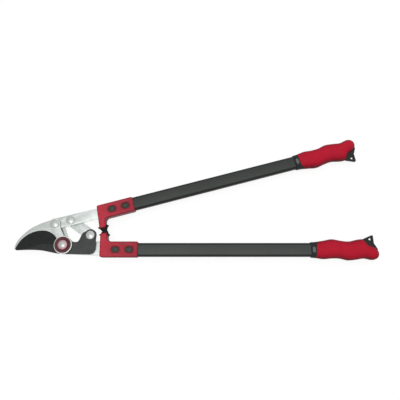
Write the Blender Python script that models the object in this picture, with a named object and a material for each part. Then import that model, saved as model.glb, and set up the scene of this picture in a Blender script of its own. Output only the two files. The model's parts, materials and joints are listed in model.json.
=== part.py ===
"""Compound bypass lopper with a hooked counter blade, two tube handles and moulded grips.

The hook runs back through the main bolt into the lower handle and is the fixed jaw. The upper
handle turns on the hook at the hook rivet. A short link joins its lever to the ear of the
cutting blade, so that the blade turns about half as far as the handle.

Sizes are in millimetres, in a frame whose origin is the main bolt: +X runs towards the grips,
+Y from the lower handle to the upper one, and +Z towards the side with the bolt's head. The
tool lies flat and shut.
"""

import math

import bmesh
import bpy
from mathutils import Matrix, Vector

MM = 0.001

# Clearances
TOUCH_GAP = 0.3
BUMPER_GAP = 0.3
OPEN_PIVOT_GAP = 1.9

# Plates, from the back of the tool to its front
PLATE_THICKNESS = 4.0
STRAP_THICKNESS = 3.0

# Pivots of the linkage
HOOK_RIVET_AT = (-19.1, 41.5)
EAR_RIVET_AT = (51.7, 19.6)
LEVER_RIVET_SPACING = 30.2
UPPER_HANDLE_ANGLE = 14.8

# Hook and strap. Corners are (x, y, corner radius), and those of the side are along and to the
# right of the line from the bolt to the hook rivet.
JAW_CENTRE = (-44.5, -24.3)
BLADE_EDGE_RADIUS = 53.3
BLADE_EDGE_FALL = 0.0042
JAW_OVERLAP = 3.0
HOOK_BACK_EDGE = ((-94.6, -9.5), (-97.2, -5.3), (-92.8, 7.9), (-82.0, 21.5), (-66.5, 34.4),
                  (-48.0, 43.7), (-30.5, 49.7))
HOOK_HEAD_SHIFT = (2.2, 1.0)
HOOK_HEAD_RADIUS = 11.5
HOOK_SIDE_BELOW_RIVET = 3.0
HOOK_SIDE_CORNERS = ((14.8, 3.0), (12.6, 9.0), (12.0, 0.0))
HOOK_WAIST_HEIGHT = 13.0
HOOK_FOOT_HEIGHT = 1.0
HOOK_VALLEY = ((17.5, 4.4, 6.0), (46.0, 4.4, 20.0))
HOOK_VALLEY_START = (12.0, 4.6, 0.0)
TANG_RISE_AT = 60.0
TANG_TOP = 7.4
TANG_BOTTOM = -20.0
TANG_BELLY = ((25.0, -18.2, 30.0),)
TANG_WIDTH = 22.0
TONGUE_WIDTH = 16.0
TONGUE_SHORT = 8.0
HUB_RADIUS = 17.7
STRAP_LEFT = 7.2
STRAP_LEFT_FOOT = 6.1
STRAP_RIGHT = 7.6
STRAP_HEAD_SHIFT = (0.3, 0.6)
STRAP_HEAD_RADIUS = 10.2

# Blade, lever and link
BLADE_BELLY = ((8.0, -17.5), (-8.0, -16.9), (-20.0, -14.9), (-43.0, -10.5), (-66.0, -9.4),
               (-92.6, -10.3))
GROUND_LINE = ((-90.5, -9.1), (-78.0, -7.7), (-62.0, -4.0), (-47.0, 1.0), (-35.0, 2.2),
               (-22.0, 1.2), (-14.5, 9.6))
GROUND_TIP_SETBACK = (1.2, 0.1)
BLADE_VALLEY = ((17.0, 6.5, 4.0), (28.3, 5.5, 7.0), (36.2, 24.2, 9.0))
BLADE_VALLEY_START = (14.8, 9.7, 0.0)
HEEL_RIGHT = 62.7
HEEL_BOTTOM = -18.6
HEEL_CORNER = 12.0
EAR_RADIUS = 11.6
LEVER_WIDTH = 22.0
LEVER_TAPER = 1.3
LINK_WIDTH = 21.6

# Bolt, nut and rivets
BOLT_RADIUS = 5.0
BOLT_HEAD_RADIUS = 9.2
BOLT_HEAD_HEIGHT = 3.6
BOLT_SEAT = 0.8
BOLT_END_INSET = 0.2
BOLT_CHAMFER = 0.6
RING_RADIUS = 15.6
RING_HEIGHT = 1.8
RING_BRIM = 2.0
NUT_WIDTH = 16.0
WASHER_RADIUS = 10.5
WASHER_THICKNESS = 1.6
RIVET_RADIUS = 3.6
RIVET_HEAD_RADIUS = 8.4
RIVET_HEAD_HEIGHT = 2.4

# Handle tubes
TUBE_WIDTH = 27.0
TUBE_DEPTH = 16.0
TUBE_CORNER = 6.0
TUBE_WALL = 1.2
TUBE_SHOWN = 337.0
TUBE_IN_SOCKET = 63.5
TUBE_IN_GRIP = 90.0
INSERT_INSET = 1.0

# Sockets. Their walls are those outside the tube and inside it, towards the other handle.
LOWER_SOCKET_START = (72.4, -9.4)
LOWER_SOCKET_LENGTH = 74.4
LOWER_SOCKET_LEAN = 0.35
LOWER_SOCKET_WALLS = (0.8, 2.2)
UPPER_SOCKET_START = 87.0
UPPER_SOCKET_LENGTH = 72.8
UPPER_SOCKET_LEAN = 3.55
UPPER_SOCKET_WALLS = (0.6, 1.2)
UPPER_AXIS_SHIFT = 0.2
SOCKET_FACE_WALL = 2.0
SOCKET_EDGE = 3.2
SOCKET_CORNER = 3.0
SLOT_REACH = 12.0
ARM_WIDTH = 14.0
ARM_HEIGHT = 33.0
ARM_CORNER = 4.5
ARM_FILLET = 8.0
ARM_LIP = 1.6
RIVET_FROM_END = 17.3
RIVET_SPACING = 26.9
WINDOW_LENGTH = 17.0
WINDOW_WIDTH = 12.8
WINDOW_FLARE = 0.35
TUBE_RIVET_RADIUS = 2.6
TUBE_RIVET_HEAD_RADIUS = 4.8
TUBE_RIVET_HEAD_HEIGHT = 1.6

# Bumpers, as half sizes along the handle and through its depth
BUMPER_FLANGE = (10.6, 8.4)
BUMPER_FLANGE_THICKNESS = 3.0
BUMPER_FLANGE_ROUND = 0.4
BUMPER_WAIST = (8.4, 7.0)
BUMPER_NECK = (7.7, 6.6)
BUMPER_NOSE = (5.8, 5.4)
BUMPER_TIP = (5.0, 4.8)
BUMPER_NOSE_LENGTH = 1.3

# Grips: profiles are (distance from the collar's front, size), inner means towards the other
# handle, and the points of the tab and the collar's edge are (distance, place inwards)
GRIP_INNER = ((0, 15.2), (11, 15.9), (26, 18.2), (42, 20.9), (59, 18.1), (75, 16.6), (91, 19.8),
              (99, 20.4), (108, 15.6), (118, 8.2), (133, 6.2))
GRIP_OUTER = ((0, 15.2), (11, 16.1), (25, 17.9), (41, 16.6), (56, 16.9), (72, 20.3), (88, 19.0),
              (103, 16.8), (118, 19.4), (133, 19.4))
GRIP_THICKNESS = ((0, 10.2), (11, 11.0), (18, 12.2), (42, 13.5), (72, 12.8), (99, 13.5),
                  (118, 12.4), (133, 11.0))
GRIP_SQUARENESS = 2.5
GRIP_LENGTH = 133.4
GRIP_END_ROUND = 14.4
COLLAR_EDGE = ((7.6, -24.0), (8.0, -15.0), (9.3, -8.0), (10.3, 0.0), (12.0, 8.0), (13.5, 12.0),
               (16.0, 16.0), (21.0, 24.0))
COLLAR_FORM_LENGTH = 24.0
CORE_WALL = 1.0
CORE_BODY_FROM = 4.0
CORE_LENGTH = 97.0
SPOT_FROM_FRONT = 5.2
SPOT_LENGTH = 11.4
SPOT_WIDTH = 6.4
SPOT_SINK = 0.1
TAB_THICKNESS = 6.0
TAB_OUTLINE = ((92.0, -8.0, 0.0), (92.0, 12.0, 0.0), (101.8, 22.0, 1.5), (121.5, 29.6, 2.2),
               (125.0, 9.6, 3.0), (131.2, 1.0, 1.5), (127.0, -5.5, 0.0))
EYELET = ((109.2, 18.4, 1.3), (118.7, 23.6, 1.3), (120.0, 13.7, 1.3))

# Fineness of round shapes
ROUND_STEPS = 20
SMALL_STEPS = 14
GRIP_STEPS = 24
GRIP_STATIONS = 22
GRIP_END_STATIONS = 6


def direction(degrees):
    """Unit vector in the plane at an angle from +X."""
    return Vector((math.cos(math.radians(degrees)), math.sin(math.radians(degrees))))


def arc(centre, radius, start, end, steps):
    """Points along an arc, both ends included."""
    return [Vector(centre) + radius * direction(start + (end - start) * i / steps)
            for i in range(steps + 1)]


def rounded(corners, steps=5):
    """An outline from (x, y, radius) corners, each one rounded by its own radius."""
    points = []
    count = len(corners)
    for i, (x, y, radius) in enumerate(corners):
        corner = Vector((x, y))
        before = Vector(corners[i - 1][:2]) - corner
        after = Vector(corners[(i + 1) % count][:2]) - corner
        half = before.angle(after) / 2
        if radius == 0 or half > math.radians(89):
            points.append(corner)
            continue
        reach = radius / math.tan(half)
        first = corner + before.normalized() * reach
        last = corner + after.normalized() * reach
        bisector = (before.normalized() + after.normalized()).normalized()
        centre = corner + bisector * radius / math.sin(half)
        sweep = (first - centre).angle_signed(last - centre)
        points += [centre + Matrix.Rotation(-sweep * k / steps, 2) @ (first - centre)
                   for k in range(steps + 1)]
    return points


def circle(centre, radius, steps=ROUND_STEPS):
    return [Vector(centre) + radius * direction(360 * i / steps) for i in range(steps)]


def stadium(start, end, radius, steps=ROUND_STEPS // 2):
    """A slot shape round the line between two points."""
    along = math.degrees(math.atan2(end[1] - start[1], end[0] - start[0]))
    return (arc(end, radius, along - 90, along + 90, steps)
            + arc(start, radius, along + 90, along + 270, steps))


def rectangle(width, height, corner, steps=4):
    """A centred rectangle with round corners."""
    x, y = width / 2, height / 2
    return rounded([(x, -y, corner), (x, y, corner), (-x, y, corner), (-x, -y, corner)], steps)


def spline(points, steps):
    """A smooth curve through points, as Catmull-Rom spans of so many steps each."""
    knots = [Vector(p) for p in points]
    knots = [2 * knots[0] - knots[1]] + knots + [2 * knots[-1] - knots[-2]]
    curve = []
    for i in range(1, len(knots) - 2):
        before, start, end, after = knots[i - 1:i + 3]
        for k in range(steps):
            t = k / steps
            curve.append(0.5 * (2 * start + (end - before) * t
                                + (2 * before - 5 * start + 4 * end - after) * t * t
                                + (3 * start - before - 3 * end + after) * t ** 3))
    return curve + [knots[-2]]


def smooth(stations, at):
    """A smooth curve through (position, value) stations, by cubic Hermite spans."""
    last = len(stations) - 1
    i = max(k for k in range(last) if stations[k][0] <= at or k == 0)

    def slope(k):
        lower, upper = max(k - 1, 0), min(k + 1, last)
        return (stations[upper][1] - stations[lower][1]) / (stations[upper][0] - stations[lower][0])

    span = stations[i + 1][0] - stations[i][0]
    t = (at - stations[i][0]) / span
    return ((1 + 2 * t) * (1 - t) ** 2 * stations[i][1] + t * (1 - t) ** 2 * span * slope(i)
            + t * t * (3 - 2 * t) * stations[i + 1][1] + t * t * (t - 1) * span * slope(i + 1))


def material(name, colour, roughness, metallic=0.0):
    """A Principled material from an sRGB colour."""
    made = bpy.data.materials.new(name)
    made.use_nodes = True
    shader = made.node_tree.nodes["Principled BSDF"]
    linear = [(c / 255 / 12.92) if c <= 10 else ((c / 255 + 0.055) / 1.055) ** 2.4 for c in colour]
    shader.inputs["Base Color"].default_value = (*linear, 1)
    shader.inputs["Roughness"].default_value = roughness
    shader.inputs["Metallic"].default_value = metallic
    made.diffuse_color = (*linear, 1)
    return made


def bright_steel(name):
    return material(name, (206, 210, 208), 0.32, 1.0)


def dark_steel(name):
    return material(name, (60, 62, 61), 0.42, 0.6)


def red_plastic(name):
    return material(name, (180, 34, 48), 0.5)


def black_plastic(name):
    return material(name, (34, 36, 35), 0.55)


def black_paint(name):
    return material(name, (52, 55, 53), 0.4)


def grey_plastic(name):
    return material(name, (128, 132, 130), 0.5)


def ring_paint(name):
    return material(name, (104, 30, 42), 0.35, 0.3)


def empty(name, parent=None, place=(0, 0), angle=0.0):
    """A frame to hang pieces on, in the plane of the tool."""
    frame = bpy.data.objects.new(name, None)
    bpy.context.scene.collection.objects.link(frame)
    frame.parent = parent
    frame.location = (place[0] * MM, place[1] * MM, 0)
    frame.rotation_euler = (0, 0, math.radians(angle))
    return frame


def add(name, bm, parent, finish=None, sharp=35.0):
    """Turns a mesh in millimetres into a named object under a frame."""
    bmesh.ops.recalc_face_normals(bm, faces=bm.faces)
    bmesh.ops.scale(bm, vec=(MM, MM, MM), verts=bm.verts)
    mesh = bpy.data.meshes.new(name)
    bm.to_mesh(mesh)
    bm.free()
    mesh.shade_smooth()
    mesh.set_sharp_from_angle(angle=math.radians(sharp))
    made = bpy.data.objects.new(name, mesh)
    bpy.context.scene.collection.objects.link(made)
    made.parent = parent
    if finish:
        mesh.materials.append(finish(name))
    return made


def cutter(name, bm, parent):
    """A shape that only cuts others."""
    made = add(name, bm, parent)
    made.hide_render = True
    made.display_type = "WIRE"
    return made


def combine(target, tool, operation="DIFFERENCE"):
    """Cuts or joins two objects with an exact Boolean."""
    modifier = target.modifiers.new(operation.lower() + "_" + tool.name, "BOOLEAN")
    modifier.operation = operation
    modifier.solver = "EXACT"
    modifier.object = tool


def plate(outlines, bottom, top):
    """A flat plate. The first outline is its edge and any others are holes."""
    bm = bmesh.new()
    add_plate(bm, outlines, bottom, top)
    return bm


def add_plate(bm, outlines, bottom, top):
    edges = []
    for outline in outlines:
        ring = [bm.verts.new((p[0], p[1], bottom)) for p in outline]
        edges += [bm.edges.new((ring[i - 1], ring[i])) for i in range(len(ring))]
    filled = bmesh.ops.triangle_fill(bm, use_beauty=True, edges=edges)["geom"]
    faces = [g for g in filled if isinstance(g, bmesh.types.BMFace)]
    grown = bmesh.ops.extrude_face_region(bm, geom=faces, use_keep_orig=True)["geom"]
    raised = [g for g in grown if isinstance(g, bmesh.types.BMVert)]
    bmesh.ops.translate(bm, vec=(0, 0, top - bottom), verts=raised)


def loft(sections, ring=False):
    """Skins a list of sections with equal point counts; ring joins the last to the first."""
    bm = bmesh.new()
    add_loft(bm, sections, ring)
    return bm


def add_loft(bm, sections, ring=False):
    rows = [[bm.verts.new(p) for p in section] for section in sections]
    pairs = list(zip(rows, rows[1:]))
    if ring:
        pairs.append((rows[-1], rows[0]))
    else:
        bm.faces.new(rows[0])
        bm.faces.new(rows[-1])
    for first, second in pairs:
        for i in range(len(first)):
            bm.faces.new((first[i - 1], first[i], second[i], second[i - 1]))


def turned(profile, steps=ROUND_STEPS):
    """A round piece from (radius, height) points on the axis at both ends, or closed on themselves."""
    bm = bmesh.new()
    verts = [bm.verts.new((radius, 0, height)) for radius, height in profile]
    edges = [bm.edges.new(pair) for pair in zip(verts, verts[1:])]
    if profile[0][0] > 0:
        edges.append(bm.edges.new((verts[-1], verts[0])))
    bmesh.ops.spin(bm, geom=verts + edges, cent=(0, 0, 0), axis=(0, 0, 1), dvec=(0, 0, 0),
                   angle=2 * math.pi, steps=steps, use_merge=True)
    bmesh.ops.remove_doubles(bm, verts=bm.verts, dist=1e-4)
    return bm


def ellipse(wide, deep, steps=ROUND_STEPS):
    return [(wide * p.x, deep * p.y) for p in circle((0, 0), 1, steps)]


def across(outline, position):
    """An outline in the (y, z) plane at a position along the handle."""
    return [(position, p[0], p[1]) for p in outline]


def dome(radius, height, base, up, steps=3):
    """Profile of a flattened rivet head, from its rim to its top on the axis."""
    rim = 0.3
    points = []
    for i in range(steps):
        turn = math.pi / 2 * i / steps
        rise = height * (rim + (1 - rim) * math.sin(turn))
        points.append((radius * math.cos(turn), base + up * rise))
    return points + [(0, base + up * height)]


def rivet(front, back, shank_radius, head_radius, head_height, steps):
    """A rivet with a domed head at each end, seated on a front and a back face."""
    front_head = dome(head_radius, head_height, front, 1)
    back_head = dome(head_radius, head_height, back, -1)
    shank = [(head_radius, front), (shank_radius, front), (shank_radius, back), (head_radius, back)]
    return turned(front_head[::-1] + shank + back_head, steps)


# Heights of the plate layers. The tool's middle plane is at zero.
HOOK_BACK = -PLATE_THICKNESS - TOUCH_GAP / 2
HOOK_FRONT = -TOUCH_GAP / 2
BLADE_BACK = TOUCH_GAP / 2
BLADE_FRONT = PLATE_THICKNESS + TOUCH_GAP / 2
STRAP_BACK = BLADE_FRONT + TOUCH_GAP
STRAP_FRONT = STRAP_BACK + STRAP_THICKNESS
GRIP_HALF = max(size for position, size in GRIP_THICKNESS)
SOCKET_DEPTH = TUBE_DEPTH + 2 * (TOUCH_GAP + SOCKET_FACE_WALL)

RIVET_HOLE = RIVET_RADIUS + TOUCH_GAP
BOLT_HOLE = BOLT_RADIUS + TOUCH_GAP
TUBE_RIVET_HOLE = TUBE_RIVET_RADIUS + TOUCH_GAP
LEVER_RIVET_AT = tuple(Vector(HOOK_RIVET_AT) + LEVER_RIVET_SPACING * direction(UPPER_HANDLE_ANGLE))


def strap_frame():
    """Unit vectors along the strap, from bolt to rivet, and to its right."""
    along = Vector(HOOK_RIVET_AT).normalized()
    return along, Vector((along.y, -along.x))


def jaw_edge(overlap, start, end, steps):
    """The blade's edge, or one that lies behind it. It falls in near the strap."""
    points = []
    for i in range(steps + 1):
        angle = start + (end - start) * i / steps
        radius = BLADE_EDGE_RADIUS - overlap - BLADE_EDGE_FALL * max(0.0, 90 - angle) ** 2
        points.append(Vector(JAW_CENTRE) + radius * direction(angle))
    return points


def hook_outline():
    """Crescent jaw, head round the hook rivet, hub round the bolt, and the tang."""
    along, right = strap_frame()
    start_x, axis_y = LOWER_SOCKET_START
    shoulder = start_x - TOUCH_GAP
    half = TANG_WIDTH / 2
    outer = spline(HOOK_BACK_EDGE, 3)
    head = arc(Vector(HOOK_RIVET_AT) + Vector(HOOK_HEAD_SHIFT), HOOK_HEAD_RADIUS, 112, 20, 7)
    heights = (Vector(HOOK_RIVET_AT).length - HOOK_SIDE_BELOW_RIVET, HOOK_WAIST_HEIGHT, HOOK_FOOT_HEIGHT)
    side = [(*(along * height + right * reach), radius)
            for height, (reach, radius) in zip(heights, HOOK_SIDE_CORNERS)]
    side = rounded([(*head[-1], 0)] + side)[1:-1]
    top = rounded([HOOK_VALLEY_START, *HOOK_VALLEY, (TANG_RISE_AT, TANG_TOP, 12), (shoulder, TANG_TOP, 1.5),
                   (shoulder, axis_y + half, 0)])[1:]
    tongue = tongue_outline(start_x, axis_y, LOWER_SOCKET_LENGTH, half, half)
    bottom = rounded([(shoulder, axis_y - half, 0), (shoulder, TANG_BOTTOM, 1.5),
                      (TANG_RISE_AT, TANG_BOTTOM, 20), *TANG_BELLY, (3.5, -HUB_RADIUS, 0)])[:-1]
    hub = arc((0, 0), HUB_RADIUS, 270, 134, 12)
    throat = jaw_edge(JAW_OVERLAP, 51, 160, 16)
    return outer + head + side + top + tongue + bottom + hub + throat


def tongue_outline(start_x, axis_y, socket_length, above, below):
    """The narrow end of a tang, from its upper shoulder round to its lower one."""
    neck = start_x + socket_length - TUBE_IN_SOCKET - TOUCH_GAP - INSERT_INSET
    end = start_x + socket_length - TONGUE_SHORT
    half = TONGUE_WIDTH / 2
    return [Vector((neck, axis_y + above)), Vector((neck, axis_y + half)),
            Vector((end, axis_y + half)), Vector((end, axis_y - half)),
            Vector((neck, axis_y - half)), Vector((neck, axis_y - below))]


def socket_rivets(socket_length):
    """Distances of the two tube rivets from the socket's front."""
    rear = socket_length - RIVET_FROM_END
    return rear - RIVET_SPACING, rear


def hook_blade(parent):
    start_x, axis_y = LOWER_SOCKET_START
    holes = [circle((0, 0), BOLT_HOLE), circle(HOOK_RIVET_AT, RIVET_HOLE)]
    holes += [circle((start_x + along, axis_y), TUBE_RIVET_HOLE, SMALL_STEPS)
              for along in socket_rivets(LOWER_SOCKET_LENGTH)]
    add("hook_blade", plate([hook_outline()] + holes, HOOK_BACK, HOOK_FRONT), parent, bright_steel)


def blade_outlines():
    """The blade's outline at its back, and at its front where the ground edge is set back."""
    steps = 4
    edge = jaw_edge(0.0, 161.5, 50, steps * (len(GROUND_LINE) - 1))
    set_back = spline(GROUND_LINE, steps)
    hub = arc((0, 0), HUB_RADIUS - 0.5, 128, 40, 8)
    ear = Vector(EAR_RIVET_AT)
    ear_start = ear + EAR_RADIUS * direction(144)
    rest = rounded([BLADE_VALLEY_START, *BLADE_VALLEY, (*ear_start, 0)])[1:-1]
    rest += arc(ear, EAR_RADIUS, 136, 10, 9)
    rest += rounded([(ear.x + EAR_RADIUS, ear.y, 0), (HEEL_RIGHT, ear.y / 2, 0),
                     (HEEL_RIGHT, HEEL_BOTTOM, HEEL_CORNER), (28, -18.2, 0)])[1:]
    belly = spline(BLADE_BELLY, 3)
    rest += belly[:-1]
    tip = belly[-1]
    return edge + hub + rest + [tip], set_back + hub + rest + [tip + Vector(GROUND_TIP_SETBACK)]


def cutting_blade(parent):
    back, front = blade_outlines()
    bm = loft([[(p[0], p[1], BLADE_BACK) for p in back], [(p[0], p[1], BLADE_FRONT) for p in front]])
    made = add("cutting_blade", bm, parent, dark_steel)
    holes = plate([circle((0, 0), BOLT_HOLE)], BLADE_BACK - 2, BLADE_FRONT + 2)
    add_plate(holes, [circle(EAR_RIVET_AT, RIVET_HOLE)], BLADE_BACK - 2, BLADE_FRONT + 2)
    combine(made, cutter("blade_holes", holes, parent))


def hook_strap(parent):
    """Short strap over the blade and the lever, from the bolt to the hook rivet."""
    along, right = strap_frame()
    rivet_at = Vector(HOOK_RIVET_AT)
    up = math.degrees(math.atan2(along.y, along.x))
    hub = arc((0, 0), HUB_RADIUS, up + 30, up + 323, 26)
    head = arc(rivet_at + Vector(STRAP_HEAD_SHIFT), STRAP_HEAD_RADIUS, up - 108, up + 112, 16)
    right_foot = along * 16.0 + right * STRAP_RIGHT
    right_top = rivet_at - along * 8.6 + right * STRAP_RIGHT
    left_top = rivet_at - along * 13.0 - right * STRAP_LEFT
    left_foot = along * 17.5 - right * STRAP_LEFT_FOOT
    outline = hub + [right_foot, right_top] + head + [left_top, left_foot]
    holes = [circle((0, 0), BOLT_HOLE), circle(HOOK_RIVET_AT, RIVET_HOLE)]
    add("hook_strap", plate([outline] + holes, STRAP_BACK, STRAP_FRONT), parent, bright_steel)


def lever_edges():
    """How far the lever reaches above and below the upper tube's axis at the socket."""
    half = LEVER_WIDTH / 2
    return half - LEVER_TAPER - UPPER_AXIS_SHIFT, half + UPPER_AXIS_SHIFT


def upper_lever(parent):
    """Lever plate with its origin on the hook rivet and its tongue inside the upper socket."""
    above, below = lever_edges()
    tongue = tongue_outline(UPPER_SOCKET_START, UPPER_AXIS_SHIFT, UPPER_SOCKET_LENGTH, above, below)
    top = Vector((UPPER_SOCKET_START, UPPER_AXIS_SHIFT + above))
    outline = arc((0, 0), LEVER_WIDTH / 2, 90, 270, 14) + tongue[::-1] + [top]
    holes = [circle((0, 0), RIVET_HOLE), circle((LEVER_RIVET_SPACING, 0), RIVET_HOLE)]
    holes += [circle((UPPER_SOCKET_START + along, UPPER_AXIS_SHIFT), TUBE_RIVET_HOLE, SMALL_STEPS)
              for along in socket_rivets(UPPER_SOCKET_LENGTH)]
    add("upper_lever", plate([outline] + holes, BLADE_BACK, BLADE_FRONT), parent, bright_steel)


def compound_link(parent):
    """Link with its origin on the ear rivet. The hole at its far end is the oversize one."""
    far = tuple(Vector(LEVER_RIVET_AT) - Vector(EAR_RIVET_AT))
    outline = stadium((0, 0), far, LINK_WIDTH / 2, 12)
    holes = [circle((0, 0), RIVET_HOLE), circle(far, RIVET_RADIUS + OPEN_PIVOT_GAP)]
    add("compound_link", plate([outline] + holes, HOOK_BACK, HOOK_FRONT), parent, bright_steel)


def linkage_rivets(root, blade_pivot, upper_pivot):
    """The three rivets: hook to lever, lever to link, and link to blade."""
    seats = (
        ("hook_rivet", root, HOOK_RIVET_AT, STRAP_FRONT + TOUCH_GAP),
        ("lever_link_rivet", upper_pivot, (LEVER_RIVET_SPACING, 0), BLADE_FRONT + TOUCH_GAP),
        ("blade_link_rivet", blade_pivot, EAR_RIVET_AT, BLADE_FRONT + TOUCH_GAP),
    )
    for name, parent, place, front in seats:
        bm = rivet(front, HOOK_BACK - TOUCH_GAP, RIVET_RADIUS, RIVET_HEAD_RADIUS, RIVET_HEAD_HEIGHT,
                   ROUND_STEPS)
        made = add(name, bm, parent, bright_steel)
        made.location = (place[0] * MM, place[1] * MM, 0)


def main_pivot(parent):
    """Bolt with its dished ring in front, and washer and nut at the back."""
    seat = STRAP_FRONT + TOUCH_GAP
    washer_front = HOOK_BACK - TOUCH_GAP
    nut_front = washer_front - WASHER_THICKNESS - TOUCH_GAP
    end = -GRIP_HALF
    ring_top = seat + RING_HEIGHT
    head_seat = seat + BOLT_SEAT
    dish = head_seat - TOUCH_GAP
    ring = [(RING_RADIUS, seat), (RING_RADIUS, ring_top - 0.5), (RING_RADIUS - 0.6, ring_top),
            (RING_RADIUS - RING_BRIM, ring_top), (BOLT_HEAD_RADIUS + 2 * TOUCH_GAP, dish),
            (BOLT_HOLE, dish), (BOLT_HOLE, seat)]
    add("pivot_ring", turned(ring, 36), parent, ring_paint)
    bolt = dome(BOLT_HEAD_RADIUS, BOLT_HEAD_HEIGHT, head_seat, 1, 5)[::-1]
    end_face = end + BOLT_END_INSET
    bolt += [(BOLT_HEAD_RADIUS, head_seat), (BOLT_RADIUS, head_seat), (BOLT_RADIUS, end_face + BOLT_CHAMFER),
             (BOLT_RADIUS - BOLT_CHAMFER, end_face), (0, end_face)]
    add("main_bolt", turned(bolt, 32), parent, bright_steel)
    washer = [(WASHER_RADIUS, washer_front), (BOLT_HOLE, washer_front),
              (BOLT_HOLE, washer_front - WASHER_THICKNESS), (WASHER_RADIUS, washer_front - WASHER_THICKNESS)]
    add("nut_washer", turned(washer, 32), parent, bright_steel)
    hexagon = circle((0, 0), NUT_WIDTH / 2 / math.cos(math.radians(30)), 6)
    bm = plate([hexagon, circle((0, 0), BOLT_HOLE)], end, nut_front)
    add("main_nut", bm, parent, bright_steel)


class Handle:
    """One handle in its own frame: x along the tube from the socket's front, y towards the other handle."""

    def __init__(self, name, frame, inward, length, lean, walls, plate_edges):
        self.name = name
        self.frame = frame
        self.inward = inward
        self.length = length
        self.lean = lean
        self.walls = walls
        self.plate_edges = plate_edges
        self.tube_start = length - TUBE_IN_SOCKET
        self.grip_start = length + TUBE_SHOWN
        self.tube_end = self.grip_start + TUBE_IN_GRIP
        self.rivets = socket_rivets(length)

    def flip(self, outline):
        """Outline points with y towards the other handle, turned into the frame's own y."""
        return [Vector((p[0], p[1] * self.inward)) for p in outline]

    def arm_centre(self):
        return ARM_WIDTH / 2 - self.lean


def rivet_holes(handle):
    """Round holes for both tube rivets."""
    bm = bmesh.new()
    for along in handle.rivets:
        add_plate(bm, [circle((along, 0), TUBE_RIVET_HOLE, SMALL_STEPS)], -TUBE_DEPTH, TUBE_DEPTH)
    return cutter(handle.name + "_rivet_holes", bm, handle.frame)


def tube(handle, holes):
    outer = rectangle(TUBE_WIDTH, TUBE_DEPTH, TUBE_CORNER)
    inner = rectangle(TUBE_WIDTH - 2 * TUBE_WALL, TUBE_DEPTH - 2 * TUBE_WALL, TUBE_CORNER - TUBE_WALL)
    sections = [across(outer, handle.tube_start), across(outer, handle.tube_end),
                across(inner, handle.tube_end), across(inner, handle.tube_start)]
    made = add(handle.name + "_tube", loft(sections, ring=True), handle.frame, black_paint)
    combine(made, holes)


def insert(handle, holes, plate_back, plate_front):
    """Plug that fills the tube round the steel tongue."""
    gap = TUBE_WALL + TOUCH_GAP
    outline = rectangle(TUBE_WIDTH - 2 * gap, TUBE_DEPTH - 2 * gap, TUBE_CORNER - gap)
    start = handle.tube_start + INSERT_INSET
    end = handle.length - INSERT_INSET
    made = add(handle.name + "_insert", loft([across(outline, start), across(outline, end)]),
               handle.frame, black_plastic)
    half = TONGUE_WIDTH / 2 + TOUCH_GAP
    slot_end = handle.length - TONGUE_SHORT + TOUCH_GAP
    slot = [(0, -half), (slot_end, -half), (slot_end, half), (0, half)]
    tool = plate([slot], plate_back - TOUCH_GAP, plate_front + TOUCH_GAP)
    combine(made, cutter(handle.name + "_tongue_slot", tool, handle.frame))
    combine(made, holes)


def face_edges(bm):
    """Edges between the flat faces of a plate and its walls."""
    found = []
    for edge in bm.edges:
        flat = [abs(face.normal.z) > 0.5 for face in edge.link_faces]
        if len(flat) == 2 and flat[0] != flat[1]:
            found.append(edge)
    return found


def socket_body(handle):
    """L-shaped body with round edges, before it is hollowed out."""
    end = handle.length
    left, right = -handle.lean, ARM_WIDTH - handle.lean
    outer, inner = (TUBE_WIDTH / 2 + TOUCH_GAP + wall for wall in handle.walls)
    outline = handle.flip(rounded([
        (0, -outer, SOCKET_CORNER), (end, -outer, SOCKET_CORNER),
        (end, inner, SOCKET_CORNER), (right, inner, ARM_FILLET),
        (right, ARM_HEIGHT, ARM_CORNER), (left, ARM_HEIGHT, ARM_CORNER)], 4))
    bm = plate([outline], -SOCKET_DEPTH / 2, SOCKET_DEPTH / 2)
    bm.normal_update()
    bmesh.ops.bevel(bm, geom=face_edges(bm), offset=SOCKET_EDGE, segments=2, profile=0.5,
                    affect="EDGES", clamp_overlap=True)
    return bm


def windows(handle):
    """Oval pockets over the tube's rivets, which flare out from the tube to the socket's faces."""
    bm = bmesh.new()
    reach = (WINDOW_LENGTH - WINDOW_WIDTH) / 2
    wall = TUBE_DEPTH / 2 + TOUCH_GAP
    beyond = SOCKET_DEPTH / 2 + 1
    flare = WINDOW_FLARE * (beyond - wall)
    levels = ((-beyond, flare), (-wall, 0), (wall, 0), (beyond, flare))
    for along in handle.rivets:
        rows = [[(p.x, p.y, height) for p in stadium((along - reach, 0), (along + reach, 0),
                                                     WINDOW_WIDTH / 2 + grow, 8)]
                for height, grow in levels]
        add_loft(bm, rows)
    return bm


def bumper_slot():
    """T-shaped slot along the arm's end, in which the bumper's flange sits."""
    mouth = BUMPER_WAIST[1] + TOUCH_GAP
    deep = BUMPER_FLANGE[1] + TOUCH_GAP
    floor = -ARM_LIP - BUMPER_FLANGE_THICKNESS - 2 * TOUCH_GAP
    half = [(mouth, ARM_LIP), (mouth, -ARM_LIP), (deep, -ARM_LIP), (deep, floor)]
    outline = half + [(-y, z) for y, z in reversed(half)]
    return loft([across(outline, -ARM_WIDTH), across(outline, ARM_WIDTH)])


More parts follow.
